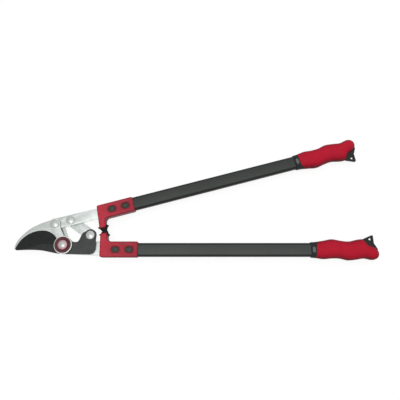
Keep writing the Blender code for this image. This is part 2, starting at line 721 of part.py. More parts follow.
def socket(handle, plate_back, plate_front):
    """Red moulded socket with its arm, bored for the tube and open over the two rivets."""
    made = add(handle.name + "_socket", socket_body(handle), handle.frame, red_plastic)
    bore = rectangle(TUBE_WIDTH + 2 * TOUCH_GAP, TUBE_DEPTH + 2 * TOUCH_GAP, TUBE_CORNER + TOUCH_GAP)
    tool = loft([across(bore, handle.tube_start - TOUCH_GAP), across(bore, handle.length + SLOT_REACH)])
    combine(made, cutter(handle.name + "_socket_bore", tool, handle.frame))
    outer, inner = (edge + TOUCH_GAP for edge in handle.plate_edges)
    inside = handle.tube_start + TOUCH_GAP
    slot = handle.flip([(-SLOT_REACH, -outer), (inside, -outer), (inside, inner), (-SLOT_REACH, inner)])
    tool = plate([slot], plate_back - TOUCH_GAP, plate_front + TOUCH_GAP)
    combine(made, cutter(handle.name + "_tang_slot", tool, handle.frame))
    combine(made, cutter(handle.name + "_windows", windows(handle), handle.frame))
    slot_cutter = cutter(handle.name + "_bumper_slot", bumper_slot(), handle.frame)
    stand_on_arm(slot_cutter, handle)
    combine(made, slot_cutter)


def stand_on_arm(made, handle):
    """Turns a piece so that its +Z points from the arm's end to the other handle."""
    made.location = (handle.arm_centre() * MM, handle.inward * ARM_HEIGHT * MM, 0)
    made.rotation_euler = (math.radians(-90 * handle.inward), 0, 0)


def tube_rivets(handle):
    seat = TUBE_DEPTH / 2 + TOUCH_GAP
    for place, along in zip(("front", "rear"), handle.rivets):
        bm = rivet(seat, -seat, TUBE_RIVET_RADIUS, TUBE_RIVET_HEAD_RADIUS, TUBE_RIVET_HEAD_HEIGHT,
                   SMALL_STEPS)
        made = add(handle.name + "_socket_rivet_" + place, bm, handle.frame, dark_steel)
        made.location = (along * MM, 0, 0)


def bumper(handle, height):
    """Rubber bumper: a flange in the arm's slot and a nose whose slanted tip meets the other one."""
    flange = Vector(BUMPER_FLANGE)
    rounded_flange = flange - Vector((BUMPER_FLANGE_ROUND, BUMPER_FLANGE_ROUND))
    top = -ARM_LIP - TOUCH_GAP
    bottom = top - BUMPER_FLANGE_THICKNESS
    third = BUMPER_FLANGE_THICKNESS / 3
    slant = math.tan(math.radians(UPPER_HANDLE_ANGLE / 2))
    levels = ((bottom, 0, rounded_flange), (bottom + third, 0, flange), (top - third, 0, flange),
              (top, 0, rounded_flange), (top, 0, BUMPER_WAIST), (0, 0, BUMPER_NECK),
              (height - BUMPER_NOSE_LENGTH, slant, BUMPER_NOSE), (height, slant, BUMPER_TIP))
    sections = [[(x, y, z + rise * x) for x, y in ellipse(*size)] for z, rise, size in levels]
    made = add(handle.name + "_bumper", loft(sections), handle.frame, black_plastic)
    stand_on_arm(made, handle)


def grip_section(position):
    """Section of the grip at a distance from its front: a rounded square about its own centre."""
    inner = smooth(GRIP_INNER, position)
    outer = smooth(GRIP_OUTER, position)
    into_end = max(0.0, position - GRIP_LENGTH + GRIP_END_ROUND) / GRIP_END_ROUND
    closing = math.sqrt(1 - into_end ** 2)
    middle, wide = (inner - outer) / 2, (inner + outer) / 2 * closing
    deep = smooth(GRIP_THICKNESS, position) * closing
    power = 2 / GRIP_SQUARENESS
    points = []
    for i in range(GRIP_STEPS):
        turn = 2 * math.pi * i / GRIP_STEPS
        y = math.copysign(abs(math.cos(turn)) ** power, math.cos(turn))
        z = math.copysign(abs(math.sin(turn)) ** power, math.sin(turn))
        points.append((middle + wide * y, deep * z))
    return points


def grip_loft(handle, positions):
    """The grip's outer form through sections at distances from its front."""
    sections = []
    for position in positions:
        outline = [(y * handle.inward, z) for y, z in grip_section(position)]
        sections.append(across(outline, handle.grip_start + position))
    return loft(sections)


def beside_edge(handle, gap, beyond):
    """Everything on one side of the collar's curved edge, up to a distance from the grip's front."""
    edge = [Vector((handle.grip_start + x + gap, y)) for x, y in spline(COLLAR_EDGE, 3)]
    far = handle.grip_start + beyond
    outline = edge + [Vector((far, edge[-1].y)), Vector((far, edge[0].y))]
    return plate([handle.flip(outline)], -2 * GRIP_HALF, 2 * GRIP_HALF)


def core_body(handle, grow):
    """The part of the core that the sleeve covers, grown by a clearance."""
    wall = CORE_WALL + TOUCH_GAP + grow
    outline = rectangle(TUBE_WIDTH + 2 * wall, TUBE_DEPTH + 2 * wall, TUBE_CORNER + wall)
    return loft([across(outline, handle.grip_start + CORE_BODY_FROM),
                 across(outline, handle.grip_start + CORE_LENGTH + grow)])


def on_grip(handle, corners):
    """Corners whose distances are from the grip's front, in the handle's own frame."""
    return [(x + handle.grip_start, y, radius) for x, y, radius in corners]


def tab_plate(handle, grow):
    """The hanging tab at the end of the core, grown by a clearance."""
    outline = rounded(on_grip(handle, TAB_OUTLINE), 4)
    if grow:
        outline = offset(outline, grow)
    return plate([handle.flip(outline)], -TAB_THICKNESS / 2 - grow, TAB_THICKNESS / 2 + grow)


def offset(outline, distance):
    """Moves each point of a clockwise or counter-clockwise outline out by a distance."""
    area = sum(a[0] * b[1] - a[1] * b[0] for a, b in zip(outline, outline[1:] + outline[:1]))
    side = math.copysign(1, area)
    moved = []
    for i, point in enumerate(outline):
        before = (point - outline[i - 1]).normalized()
        after = (outline[(i + 1) % len(outline)] - point).normalized()
        normal = Vector((before.y + after.y, -before.x - after.x)).normalized() * side
        share = max(0.5, abs(normal.dot(Vector((before.y, -before.x)))))
        moved.append(point + normal * distance / share)
    return moved


def grip_core(handle):
    """Black core: collar, body round the tube, and the hanging tab with its eyelet."""
    collar = grip_loft(handle, [COLLAR_FORM_LENGTH * i / 6 for i in range(7)])
    made = add(handle.name + "_grip_core", collar, handle.frame, black_plastic)
    tool = beside_edge(handle, -TOUCH_GAP, 2 * COLLAR_FORM_LENGTH)
    combine(made, cutter(handle.name + "_collar_edge", tool, handle.frame))
    combine(made, cutter(handle.name + "_core_body", core_body(handle, 0.0), handle.frame), "UNION")
    combine(made, cutter(handle.name + "_core_tab", tab_plate(handle, 0.0), handle.frame), "UNION")
    bore = rectangle(TUBE_WIDTH + 2 * TOUCH_GAP, TUBE_DEPTH + 2 * TOUCH_GAP, TUBE_CORNER + TOUCH_GAP)
    tool = loft([across(bore, handle.grip_start - 5), across(bore, handle.tube_end + TOUCH_GAP)])
    combine(made, cutter(handle.name + "_core_bore", tool, handle.frame))
    eyelet = handle.flip(rounded(on_grip(handle, EYELET), 3))
    tool = plate([eyelet], -TAB_THICKNESS, TAB_THICKNESS)
    combine(made, cutter(handle.name + "_eyelet", tool, handle.frame))
    tool = plate([spot_outline(handle, TOUCH_GAP)], TUBE_DEPTH / 2 - 1, GRIP_HALF)
    combine(made, cutter(handle.name + "_spot_hole", tool, handle.frame))


def spot_outline(handle, grow):
    """The oval plug in the collar, its long side across the handle."""
    reach = (SPOT_LENGTH - SPOT_WIDTH) / 2
    at = handle.grip_start + SPOT_FROM_FRONT
    return stadium((at, -reach), (at, reach), SPOT_WIDTH / 2 + grow, 8)


def grip_plug(handle):
    seat = TUBE_DEPTH / 2 + TOUCH_GAP
    top = smooth(GRIP_THICKNESS, SPOT_FROM_FRONT) - SPOT_SINK
    bm = plate([spot_outline(handle, 0.0)], seat, top)
    add(handle.name + "_grip_plug", bm, handle.frame, grey_plastic)


def grip_sleeve(handle):
    """Soft red sleeve with palm swells, over the core."""
    round_from = GRIP_LENGTH - GRIP_END_ROUND
    step = (round_from - CORE_BODY_FROM) / GRIP_STATIONS
    positions = [CORE_BODY_FROM + step * i for i in range(GRIP_STATIONS)]
    positions += [round_from + GRIP_END_ROUND * math.sin(math.radians(85) * i / GRIP_END_STATIONS)
                  for i in range(GRIP_END_STATIONS + 1)]
    made = add(handle.name + "_grip_sleeve", grip_loft(handle, positions), handle.frame, red_plastic, 60.0)
    tool = beside_edge(handle, 0.0, -COLLAR_FORM_LENGTH)
    combine(made, cutter(handle.name + "_sleeve_edge", tool, handle.frame))
    combine(made, cutter(handle.name + "_sleeve_bore", core_body(handle, TOUCH_GAP), handle.frame))
    combine(made, cutter(handle.name + "_sleeve_slot", tab_plate(handle, TOUCH_GAP), handle.frame))


def bumper_height(lower, upper):
    """Height at which the slanted tips of the bumpers are a gap apart when the tool is shut."""
    at_lower = Vector(LOWER_SOCKET_START) + Vector((lower.arm_centre(), ARM_HEIGHT))
    axis = direction(UPPER_HANDLE_ANGLE)
    along = UPPER_SOCKET_START + upper.arm_centre()
    inward = Vector((axis.y, -axis.x))
    at_upper = Vector(HOOK_RIVET_AT) + axis * along + inward * (ARM_HEIGHT - UPPER_AXIS_SHIFT)
    half = UPPER_HANDLE_ANGLE / 2
    between = (at_upper - at_lower).dot(direction(90 + half))
    return (between - BUMPER_GAP) / (2 * math.cos(math.radians(half)))


def build_handle(handle, plate_back, plate_front, height):
    holes = rivet_holes(handle)
    tube(handle, holes)
    insert(handle, holes, plate_back, plate_front)
    socket(handle, plate_back, plate_front)
    tube_rivets(handle)
    bumper(handle, height)
    grip_core(handle)
    grip_plug(handle)
    grip_sleeve(handle)


def stand_on_floor(root):
    """Puts the middle of the tool's footprint over the origin, with its lowest point at zero."""
    bpy.context.view_layer.update()
    graph = bpy.context.evaluated_depsgraph_get()
    points = []
    for item in bpy.context.scene.objects:
        if item.type == "MESH" and not item.hide_render:
            shape = item.evaluated_get(graph)
            points += [shape.matrix_world @ v.co for v in shape.to_mesh().vertices]
    low = [min(p[k] for p in points) for k in range(3)]
    high = [max(p[k] for p in points) for k in range(3)]
    root.location = (-(low[0] + high[0]) / 2, -(low[1] + high[1]) / 2, -low[2])


def build():
    for item in list(bpy.data.objects):
        bpy.data.objects.remove(item, do_unlink=True)
    root = empty("tool_frame")
    blade_pivot = empty("blade_pivot", root)
    link_pivot = empty("link_pivot", root, EAR_RIVET_AT)
    upper_pivot = empty("upper_pivot", root, HOOK_RIVET_AT, UPPER_HANDLE_ANGLE)
    lower_frame = empty("lower_handle_frame", root, LOWER_SOCKET_START)
    upper_frame = empty("upper_handle_frame", upper_pivot, (UPPER_SOCKET_START, UPPER_AXIS_SHIFT))

    hook_blade(root)
    hook_strap(root)
    main_pivot(root)
    cutting_blade(blade_pivot)
    compound_link(link_pivot)
    upper_lever(upper_pivot)
    linkage_rivets(root, blade_pivot, upper_pivot)

    half = TANG_WIDTH / 2
    lower = Handle("lower", lower_frame, 1, LOWER_SOCKET_LENGTH, LOWER_SOCKET_LEAN,
                   LOWER_SOCKET_WALLS, (half, half))
    upper = Handle("upper", upper_frame, -1, UPPER_SOCKET_LENGTH, UPPER_SOCKET_LEAN,
                   UPPER_SOCKET_WALLS, lever_edges())
    height = bumper_height(lower, upper)
    build_handle(lower, HOOK_BACK, HOOK_FRONT, height)
    build_handle(upper, BLADE_BACK, BLADE_FRONT, height)
    stand_on_floor(root)


build()
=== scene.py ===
"""Dressed model of the compound bypass lopper: fine meshes, materials, floor, light and camera.

Sizes are in millimetres. Each piece is made in its own frame: the main bolt's frame for the
steel head, and for each handle a frame that starts at the front of its socket, with +X along
the tube. Inward means towards the other handle.
"""

import json
from dataclasses import dataclass
from math import asin, atan2, copysign, cos, degrees, pi, radians, sin, sqrt, tan

import bmesh
import bpy
from mathutils import Matrix, Vector

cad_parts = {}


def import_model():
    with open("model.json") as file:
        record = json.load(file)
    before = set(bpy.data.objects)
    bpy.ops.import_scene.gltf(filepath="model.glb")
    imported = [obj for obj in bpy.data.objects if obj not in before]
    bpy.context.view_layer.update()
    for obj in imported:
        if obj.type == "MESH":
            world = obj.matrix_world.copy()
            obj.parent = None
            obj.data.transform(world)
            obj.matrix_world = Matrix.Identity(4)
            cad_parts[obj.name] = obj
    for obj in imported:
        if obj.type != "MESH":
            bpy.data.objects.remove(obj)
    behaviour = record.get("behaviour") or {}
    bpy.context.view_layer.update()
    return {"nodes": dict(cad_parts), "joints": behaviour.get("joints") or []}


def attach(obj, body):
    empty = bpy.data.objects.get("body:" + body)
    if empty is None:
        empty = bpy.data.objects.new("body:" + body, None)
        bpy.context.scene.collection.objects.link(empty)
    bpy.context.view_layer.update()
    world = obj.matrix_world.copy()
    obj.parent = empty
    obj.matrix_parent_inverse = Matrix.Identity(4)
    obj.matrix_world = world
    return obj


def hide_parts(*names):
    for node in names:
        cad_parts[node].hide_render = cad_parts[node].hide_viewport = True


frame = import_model()
scene = bpy.context.scene

MM = 0.001
GAP = 0.3
JOINTS = {joint["name"]: joint for joint in frame["joints"]}
BOLT_AT, HOOK_RIVET_WORLD, EAR_RIVET_WORLD = (
    Vector(JOINTS[name]["pos_m"]) for name in ("blade_pivot", "handle_pivot", "link_pivot"))

# Plates
PLATE_THICKNESS = 4.0
STRAP_THICKNESS = 3.0
HOOK_BACK = -PLATE_THICKNESS - GAP / 2
HOOK_FRONT = -GAP / 2
BLADE_BACK = GAP / 2
BLADE_FRONT = PLATE_THICKNESS + GAP / 2
STRAP_BACK = BLADE_FRONT + GAP
STRAP_FRONT = STRAP_BACK + STRAP_THICKNESS
PLATE_EDGE = 0.45

# Linkage: points are (x, y), corners (x, y, radius), and arcs run from one angle to another
UPPER_HANDLE_ANGLE = 14.8
LEVER_RIVET_SPACING = 30.2
LEVER_WIDTH = 22.0
LEVER_TAPER = 1.3
EAR_RIVET_AT = Vector((51.7, 19.6))
JAW_CENTRE = Vector((-44.5, -24.3))
BLADE_EDGE_RADIUS = 53.3
BLADE_EDGE_FALL = 0.0042
BLADE_BELLY = ((8, -17.5), (-8, -16.9), (-20, -14.9), (-43, -10.5), (-66, -9.4), (-92.6, -10.3))
GROUND_LINE = ((-90.5, -9.1), (-78, -7.7), (-62, -4), (-47, 1), (-35, 2.2), (-22, 1.2),
               (-14.5, 9.6))
GROUND_TIP_SETBACK = Vector((1.2, 0.1))
BLADE_VALLEY = ((17, 6.5, 4), (28.3, 5.5, 7), (36.2, 24.2, 9))
BLADE_VALLEY_START = (14.8, 9.7, 0)
HEEL = (62.7, -18.6, 12)
HEEL_END = (28, -18.2, 0)
JAW_ARC = (161.5, 50)
HUB_RADIUS = 17.2
HUB_ARC = (128, 40)
EAR_RADIUS = 11.6
EAR_FROM = 144.0
EAR_ARC = (136, 10)
EDGE_LAND = 0.35
# Where the blade's coating goes from dark to its lighter painted reflection behind the bolt, in
# millimetres
COATING_SHEEN_FADE = (-30, 25)
# Where the steel plates' painted reflection runs from its darker to its lighter tone, in millimetres
# along each plate
STEEL_SHEEN_FADE = (0, 75)

# Bolt, nut and rivets. The ring's crest is (in from its edge, down from its top)
BOLT_RADIUS = 5.0
BOLT_HEAD_RADIUS = 9.2
BOLT_HEAD_HEIGHT = 3.6
BOLT_SEAT = 0.8
RING_RADIUS = 15.75
RING_HEIGHT = 1.8
RING_CREST = ((0, 0.7), (0.25, 0.25), (0.8, 0), (1.9, 0), (2.8, 0.2))
DISH_FOOT = (0.6, 0.2)
HEAD_WALL_SHARE = 0.38
HEAD_CORNER = 0.3
HEAD_SOFT = 0.3 * HEAD_CORNER
THREAD_PITCH = 1.25
THREAD_DEPTH = 0.45
THREAD_END = 1.0
BOLT_END_SINK = 0.2
BOLT_END_SLOPE = 0.6
# Radius in millimetres from which the bolt head is painted with a red reflection of its ring
BOLT_RED_REFLECTION_FROM = 4.0
NUT_WIDTH = 16.0
NUT_EDGE = 0.3
NUT_FACE_INSET = 0.1
NUT_CONE_PAST = 0.5
WASHER_RADIUS = 10.5
WASHER_THICKNESS = 1.6
WASHER_EDGE = 0.3
RIVET_RADIUS = 3.6
RIVET_HEAD_RADIUS = 8.4
RIVET_HEAD_HEIGHT = 2.4
TUBE_RIVET_RADIUS = 2.6
TUBE_RIVET_HEAD_RADIUS = 4.8
TUBE_RIVET_HEAD_HEIGHT = 1.6

# Tubes
TUBE_WIDTH = 27.0
TUBE_DEPTH = 16.0
TUBE_CORNER = 6.0
TUBE_WALL = 1.2
TUBE_SEAT = TUBE_DEPTH / 2 + GAP
TUBE_SHOWN = 337.0
TUBE_IN_SOCKET = 63.5
TUBE_IN_GRIP = 90.0
TANG_WIDTH = 22.0
# How far the tube's painted light changes its tone across the flats, either side of the middle tone
TUBE_SHADE_FADE = 4
BORE_PAST = 5.0

# Sockets: walls are (outer, inner), lean is how far the arm stands out in front of its socket, and the
# tube tone is the middle tone of that handle's tube, set lower on the upper handle as painted shade
LOWER_SOCKET_START = Vector((72.4, -9.4))
LOWER_SOCKET = {"length": 74.4, "lean": 0.35, "walls": (0.8, 2.2), "tube_tone": 62}
UPPER_SOCKET_START = 87.0
UPPER_SOCKET = {"length": 72.8, "lean": 3.55, "walls": (0.6, 1.2), "tube_tone": 52}
UPPER_AXIS_SHIFT = 0.2
SOCKET_FACE_WALL = 2.0
SOCKET_DEPTH = TUBE_DEPTH + 2 * (GAP + SOCKET_FACE_WALL)
SOCKET_EDGE = 3.2
SOCKET_CORNER = 3.6
SLOT_FROM = -12.0
ARM_WIDTH = 14.0
ARM_HEIGHT = 33.0
ARM_CORNER = 4.5
ARM_FILLET = 8.0
ARM_LIP = 1.6
RIVET_FROM_END = 17.3
RIVET_SPACING = 26.9
WINDOW_LENGTH = 17.0
WINDOW_WIDTH = 12.8
WINDOW_FLARE = 0.35
WINDOW_ROUND = 1.1
WINDOW_RIM = 1.5 * WINDOW_ROUND
WINDOW_LIP = 1.2
WINDOW_LOW = TUBE_SEAT + 0.02
# Where the socket's face goes from its front tone to painted shade at its rear, in millimetres
SOCKET_SHADE_FADE = (8, 48)

# Bumpers: pairs are half sizes along the handle and through its depth, the round is (in, down)
BUMPER_FLANGE = Vector((10.6, 8.4))
FLANGE_THICKNESS = 3.0
BUMPER_FLANGE_ROUND = Vector((1, 1.3))
BUMPER_WAIST = Vector((8.4, 7))
BUMPER_NECK = Vector((7.7, 6.6))
BUMPER_NOSE = Vector((5.8, 5.4))
BUMPER_TIP = Vector((5, 4.8))
BUMPER_NOSE_LENGTH = 1.3
BUMPER_GAP = 0.3

# Grips: profiles are (distance from the collar's front, size), inner is towards the other handle
GRIP_INNER = ((0, 15.2), (11, 15.9), (26, 18.2), (42, 20.9), (59, 18.1), (75, 16.6), (91, 19.8),
              (98, 20.8), (102.8, 20.6), (105.8, 17.6), (108, 14), (110.6, 11.2), (114.4, 8.9),
              (121, 6.6), (128, 4.8), (133, 4.2))
GRIP_OUTER = ((0, 15.2), (11, 16.1), (25, 17.9), (41, 16.6), (56, 16.9), (72, 20.3), (88, 19),
              (103, 16.8), (118, 19.4), (133, 19.4))
GRIP_THICKNESS = ((0, 10.2), (11, 11), (18, 12.2), (42, 13.5), (72, 12.8), (99, 13.5), (118, 12.4),
                  (133, 11))
GRIP_HALF = max(size for position, size in GRIP_THICKNESS)
GRIP_SQUARENESS = 2.5
GRIP_LENGTH = 133.4
GRIP_END_ROUND = 14.4
GRIP_END_TURN = 87
COLLAR_EDGE = ((9.2, -24), (9.4, -14), (9.7, -6), (10.1, 1), (10.8, 7.5), (12.1, 11.8),
               (15.2, 15), (18.2, 18.4), (20.5, 24))
COLLAR_LENGTH = 24.0
COLLAR_LIP = ((0, 0.7), (0.25, 0.3), (0.8, 0))
CORE_WALL = 1.0
CORE_BODY_FROM = 4.0
CORE_LENGTH = 97.0
PLUG_FROM_FRONT = 5.2
PLUG_LENGTH = 11.4
PLUG_WIDTH = 6.4
PLUG_SINK = 0.1
PLUG_EDGE = 0.5
PLUG_LIGHTER = 66
INSERT_LIGHTER = 4
TAB_THICKNESS = 6.0
TAB_EDGE = 0.7
TAB_OUTLINE = ((92, -8, 0), (92, 12, 0), (104.6, 21.4, 1.5), (124, 29.8, 1.9),
               (124.9, 12.6, 1), (127.3, 9.2, 2), (131.8, 1, 1.2), (128.8, -5.5, 0))
EYELET = ((112.9, 20.5, 1.2), (120.3, 24.3, 1.2), (120.7, 18, 1.2))

# Fineness
ROUND_STEPS = 64
RING_STEPS = 96
BOLT_STEPS = 72
GRIP_STEPS = 56
GRIP_STATIONS = 58
END_STATIONS = 16
EDGE_STEPS = 3
RAMP_SPAN = (0.3, 0.7)

# How far a cutter goes past what it cuts, and what counts as straight, level or in line
CUT_PAST = 1.0
NEARLY_STRAIGHT = 89
SAME_HEIGHT = 0.01
SAME_LINE = 0.2

# Floor, light and camera
FLOOR_HALF = 6.0
FLOOR_DROP = 0.0005
FLOOR_GREY = 0.8
FLOOR_SEEN_GREY = 0.14
FLOOR_SEEN_GLOW = 0.89
CAMERA_FROM_BOLT = Vector((267.4, -79.7, 765.6))
CAMERA_TILT = 12.57
CAMERA_LENS = 35.0
SOFTBOX = {"size": 3.0, "power": 37.0, "at": (0.0, 0.4, 2.1), "aim": (0.0, 0.0, 0.0)}
GLINT = {"size": 0.9, "power": 4.0, "at": (-0.43, -0.4, 2.1), "aim": (-0.26, -0.09, 0.0)}

# The world's light: its bright side, then its strength on the far side and on the bright one
WORLD_LIGHT = ((-0.1, 0.45, 0.85), 0.12, 0.55)
REFLECTED_LIGHT = ((0.6, 0.0, 0.8), 0.45, 1.05)


def direction(angle):
    """Unit vector in the plane at an angle from +X, in degrees."""
    return Vector((cos(radians(angle)), sin(radians(angle))))


def arc(centre, radius, start, end, steps):
    """Points along an arc, both ends included."""
    return [Vector(centre) + radius * direction(start + (end - start) * i / steps)
            for i in range(steps + 1)]


def rounded(corners, steps=8):
    """An outline from (x, y, radius) corners, each one rounded by its own radius."""
    points = []
    count = len(corners)
    for i, (x, y, radius) in enumerate(corners):
        corner = Vector((x, y))
        before = Vector(corners[i - 1][:2]) - corner
        after = Vector(corners[(i + 1) % count][:2]) - corner
        half = before.angle(after) / 2
        if radius == 0 or half > radians(NEARLY_STRAIGHT):
            points.append(corner)
            continue
        reach = radius / tan(half)
        first = corner + before.normalized() * reach
        last = corner + after.normalized() * reach
        bisector = (before.normalized() + after.normalized()).normalized()
        centre = corner + bisector * radius / sin(half)
        sweep = (first - centre).angle_signed(last - centre)
        points += [centre + Matrix.Rotation(-sweep * k / steps, 2) @ (first - centre)
                   for k in range(steps + 1)]
    return points


def circle(centre, radius, steps=ROUND_STEPS):
    return arc(centre, radius, 0, 360, steps)[:-1]


def stadium(start, end, radius, steps=16):
    """A slot shape round the line between two points."""
    along = degrees(atan2(end[1] - start[1], end[0] - start[0]))
    return (arc(end, radius, along - 90, along + 90, steps)
            + arc(start, radius, along + 90, along + 270, steps))


def tube_section(grow, steps=10):
    """The tube's outline round zero, grown by a distance or shrunk where it is negative."""
    x, y, corner = TUBE_WIDTH / 2 + grow, TUBE_DEPTH / 2 + grow, TUBE_CORNER + grow
    return rounded([(x, -y, corner), (x, y, corner), (-x, y, corner), (-x, -y, corner)], steps)


def spline(points, steps):
    """A smooth curve through points, as Catmull-Rom spans of so many steps each."""
    knots = [Vector(p) for p in points]
    knots = [2 * knots[0] - knots[1]] + knots + [2 * knots[-1] - knots[-2]]
    curve = []
    for i in range(1, len(knots) - 2):
        before, start, end, after = knots[i - 1:i + 3]
        for k in range(steps):
            t = k / steps
            curve.append(0.5 * (2 * start + (end - before) * t
                                + (2 * before - 5 * start + 4 * end - after) * t * t
                                + (3 * start - before - 3 * end + after) * t ** 3))
    return curve + [knots[-2]]


def smooth(stations, at):
    """A smooth curve through (position, value) stations, by cubic Hermite spans."""
    last = len(stations) - 1
    i = max(k for k in range(last) if stations[k][0] <= at or k == 0)

    def slope(k):
        lower, upper = max(k - 1, 0), min(k + 1, last)
        return (stations[upper][1] - stations[lower][1]) / (stations[upper][0] - stations[lower][0])

    span = stations[i + 1][0] - stations[i][0]
    t = (at - stations[i][0]) / span
    return ((1 + 2 * t) * (1 - t) ** 2 * stations[i][1] + t * (1 - t) ** 2 * span * slope(i)
            + t * t * (3 - 2 * t) * stations[i + 1][1] + t * t * (t - 1) * span * slope(i + 1))


def doubled_area(outline):
    return sum(a[0] * b[1] - a[1] * b[0] for a, b in zip(outline, outline[1:] + outline[:1]))


def offset(outline, distance):
    """Moves each point of an outline out by a distance, or in where it is negative."""
    side = copysign(1, doubled_area(outline))
    moved = []
    for i, point in enumerate(outline):
        before = (point - outline[i - 1]).normalized()
        after = (outline[(i + 1) % len(outline)] - point).normalized()
        normal = Vector((before.y + after.y, -before.x - after.x)).normalized() * side
        share = max(0.5, abs(normal.dot(Vector((before.y, -before.x)))))
        moved.append(point + normal * distance / share)
    return moved


def place(origin, angle=0.0):
    """World matrix of a frame in the plane of the tool."""
    return Matrix.Translation(origin) @ Matrix.Rotation(radians(angle), 4, "Z")


BOLT_FRAME = place(BOLT_AT)
EAR_FRAME = place(EAR_RIVET_WORLD)
LEVER_FRAME = place(HOOK_RIVET_WORLD, UPPER_HANDLE_ANGLE)
LOWER_FRAME = BOLT_FRAME @ Matrix.Translation((*(LOWER_SOCKET_START * MM), 0))
UPPER_FRAME = LEVER_FRAME @ Matrix.Translation((UPPER_SOCKET_START * MM, UPPER_AXIS_SHIFT * MM, 0))


def put(name, data):
    """Adds an object to the scene."""
    made = bpy.data.objects.new(name, data)
    scene.collection.objects.link(made)
    return made


def make(name, bm, where, *finishes, sharp=40):
    """Turns a mesh in millimetres into an object at a frame, with edges over an angle left sharp."""
    bmesh.ops.recalc_face_normals(bm, faces=bm.faces)
    bmesh.ops.scale(bm, vec=(MM, MM, MM), verts=bm.verts)
    mesh = bpy.data.meshes.new(name)
    bm.to_mesh(mesh)
    bm.free()
    mesh.set_sharp_from_angle(angle=radians(sharp))
    made = put(name, mesh)
    made.matrix_world = where
    for finish in finishes:
        mesh.materials.append(finish)
    return made


def dress(made, body, node):
    """The piece rides on a body and stands for a node, which is hidden."""
    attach(made, body)
    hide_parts(node)


def cut(made, cutters, operation="DIFFERENCE", sharp=40):
    """Cuts or joins an object with others, which are then removed."""
    for tool in cutters:
        modifier = made.modifiers.new("cut", "BOOLEAN")
        modifier.operation = operation
        modifier.solver = "EXACT"
        modifier.object = tool
    bpy.context.view_layer.update()
    graph = bpy.context.evaluated_depsgraph_get()
    shape = bpy.data.meshes.new_from_object(made.evaluated_get(graph))
    made.modifiers.clear()
    old = made.data
    made.data = shape
    bpy.data.meshes.remove(old)
    for tool in cutters:
        bpy.data.objects.remove(tool, do_unlink=True)
    shape.name = made.name
    shape.set_sharp_from_angle(angle=radians(sharp))


def ring_of(bm, outline, height):
    return [bm.verts.new((p[0], p[1], height)) for p in outline]


def skin(bm, rows):
    """Smooth walls between rings of points."""
    for first, second in zip(rows, rows[1:]):
        for i in range(len(first)):
            bm.faces.new((first[i - 1], first[i], second[i], second[i - 1])).smooth = True


def cap(bm, rings):
    """A flat face inside the first ring and outside the others."""
    pairs = [pair for ring in rings for pair in zip(ring[-1:] + ring[:-1], ring)]
    edges = [bm.edges.get(pair) or bm.edges.new(pair) for pair in pairs]
    for face in bmesh.ops.triangle_fill(bm, use_beauty=True, edges=edges)["geom"]:
        if isinstance(face, bmesh.types.BMFace):
            face.smooth = False


def quarter_turn(steps):
    """Angles from zero to a quarter turn, in radians."""
    return [radians(90 * k / steps) for k in range(steps + 1)]


def rim(edge, steps=EDGE_STEPS):
    """(inset, drop) pairs of a round edge, from the flat face to the wall."""
    return [(edge * (1 - sin(t)), edge * (1 - cos(t))) for t in quarter_turn(steps)]


def soft_plate(outlines, bottom, top, edge=PLATE_EDGE, steps=EDGE_STEPS):
    """A plate with round edges. The first outline is its border and any others are holes."""
    bm = bmesh.new()
    ends = []
    for k, outline in enumerate(outlines):
        side = -1 if k == 0 else 1
        levels = [(offset(outline, side * inset), drop) for inset, drop in rim(edge, steps)]
        rows = [ring_of(bm, points, bottom + drop) for points, drop in levels]
        rows += [ring_of(bm, points, top - drop) for points, drop in reversed(levels)]
        skin(bm, rows)
        ends.append((rows[0], rows[-1]))
    for rings in zip(*ends):
        cap(bm, rings)
    return bm


def wall(bm, outline, bottom, top):
    """A straight wall along an outline. Gives its lower and its upper ring."""
    rows = [ring_of(bm, outline, bottom), ring_of(bm, outline, top)]
    skin(bm, rows)
    return rows


def sharp_plate(outline, bottom, top):
    """A plate with square edges, for cutting."""
    bm = bmesh.new()
    for ring in wall(bm, outline, bottom, top):
        cap(bm, [ring])
    return bm


def loft(sections, closed=False, smooth_ends=False):
    """Skins a list of sections of 3-D points; closed joins the last to the first."""
    bm = bmesh.new()
    rows = [[bm.verts.new(p) for p in section] for section in sections]
    if closed:
        skin(bm, rows + [rows[0]])
        return bm
    skin(bm, rows)
    for row in (rows[0], rows[-1]):
        bm.faces.new(row).smooth = smooth_ends
    return bm


def turned(profile, steps=ROUND_STEPS):
    """A round piece from (radius, height) points on or off the axis."""
    bm = bmesh.new()
    verts = [bm.verts.new((radius, 0, height)) for radius, height in profile]
    edges = [bm.edges.new(pair) for pair in zip(verts, verts[1:])]
    if profile[0][0] > 0:
        edges.append(bm.edges.new((verts[-1], verts[0])))
    bmesh.ops.spin(bm, geom=verts + edges, cent=(0, 0, 0), axis=(0, 0, 1), dvec=(0, 0, 0),
                   angle=2 * pi, steps=steps, use_merge=True)
    bmesh.ops.remove_doubles(bm, verts=bm.verts, dist=1e-4)
    for face in bm.faces:
        face.smooth = True
    return bm


def across(outline, position):
    """An outline in the (y, z) plane at a position along the handle."""
    return [(position, p[0], p[1]) for p in outline]


def prism(outline, start, end):
    """A bar along the handle, with one (y, z) outline from end to end."""
    return loft([across(outline, start), across(outline, end)])


# Materials


def linear(colour):
    """Scene-linear colour of an sRGB one that is written in 0 to 255."""
    return tuple((c / 255 / 12.92) if c <= 10 else ((c / 255 + 0.055) / 1.055) ** 2.4 for c in colour)


def add_node(tree, kind, *values, **keys):
    """Adds a node, for its outputs. Values and capital keys go to sockets, other keys to settings."""
    node = tree.nodes.new(kind)
    for key, value in keys.items():
        if key.islower():
            setattr(node, key, value)
    named = [(node.inputs[key.replace("_", " ")], keys[key]) for key in keys if not key.islower()]
    for socket, value in [*zip(node.inputs, values), *named]:
        if isinstance(value, bpy.types.NodeSocket):
            tree.links.new(value, socket)
        else:
            socket.default_value = value
    return node.outputs


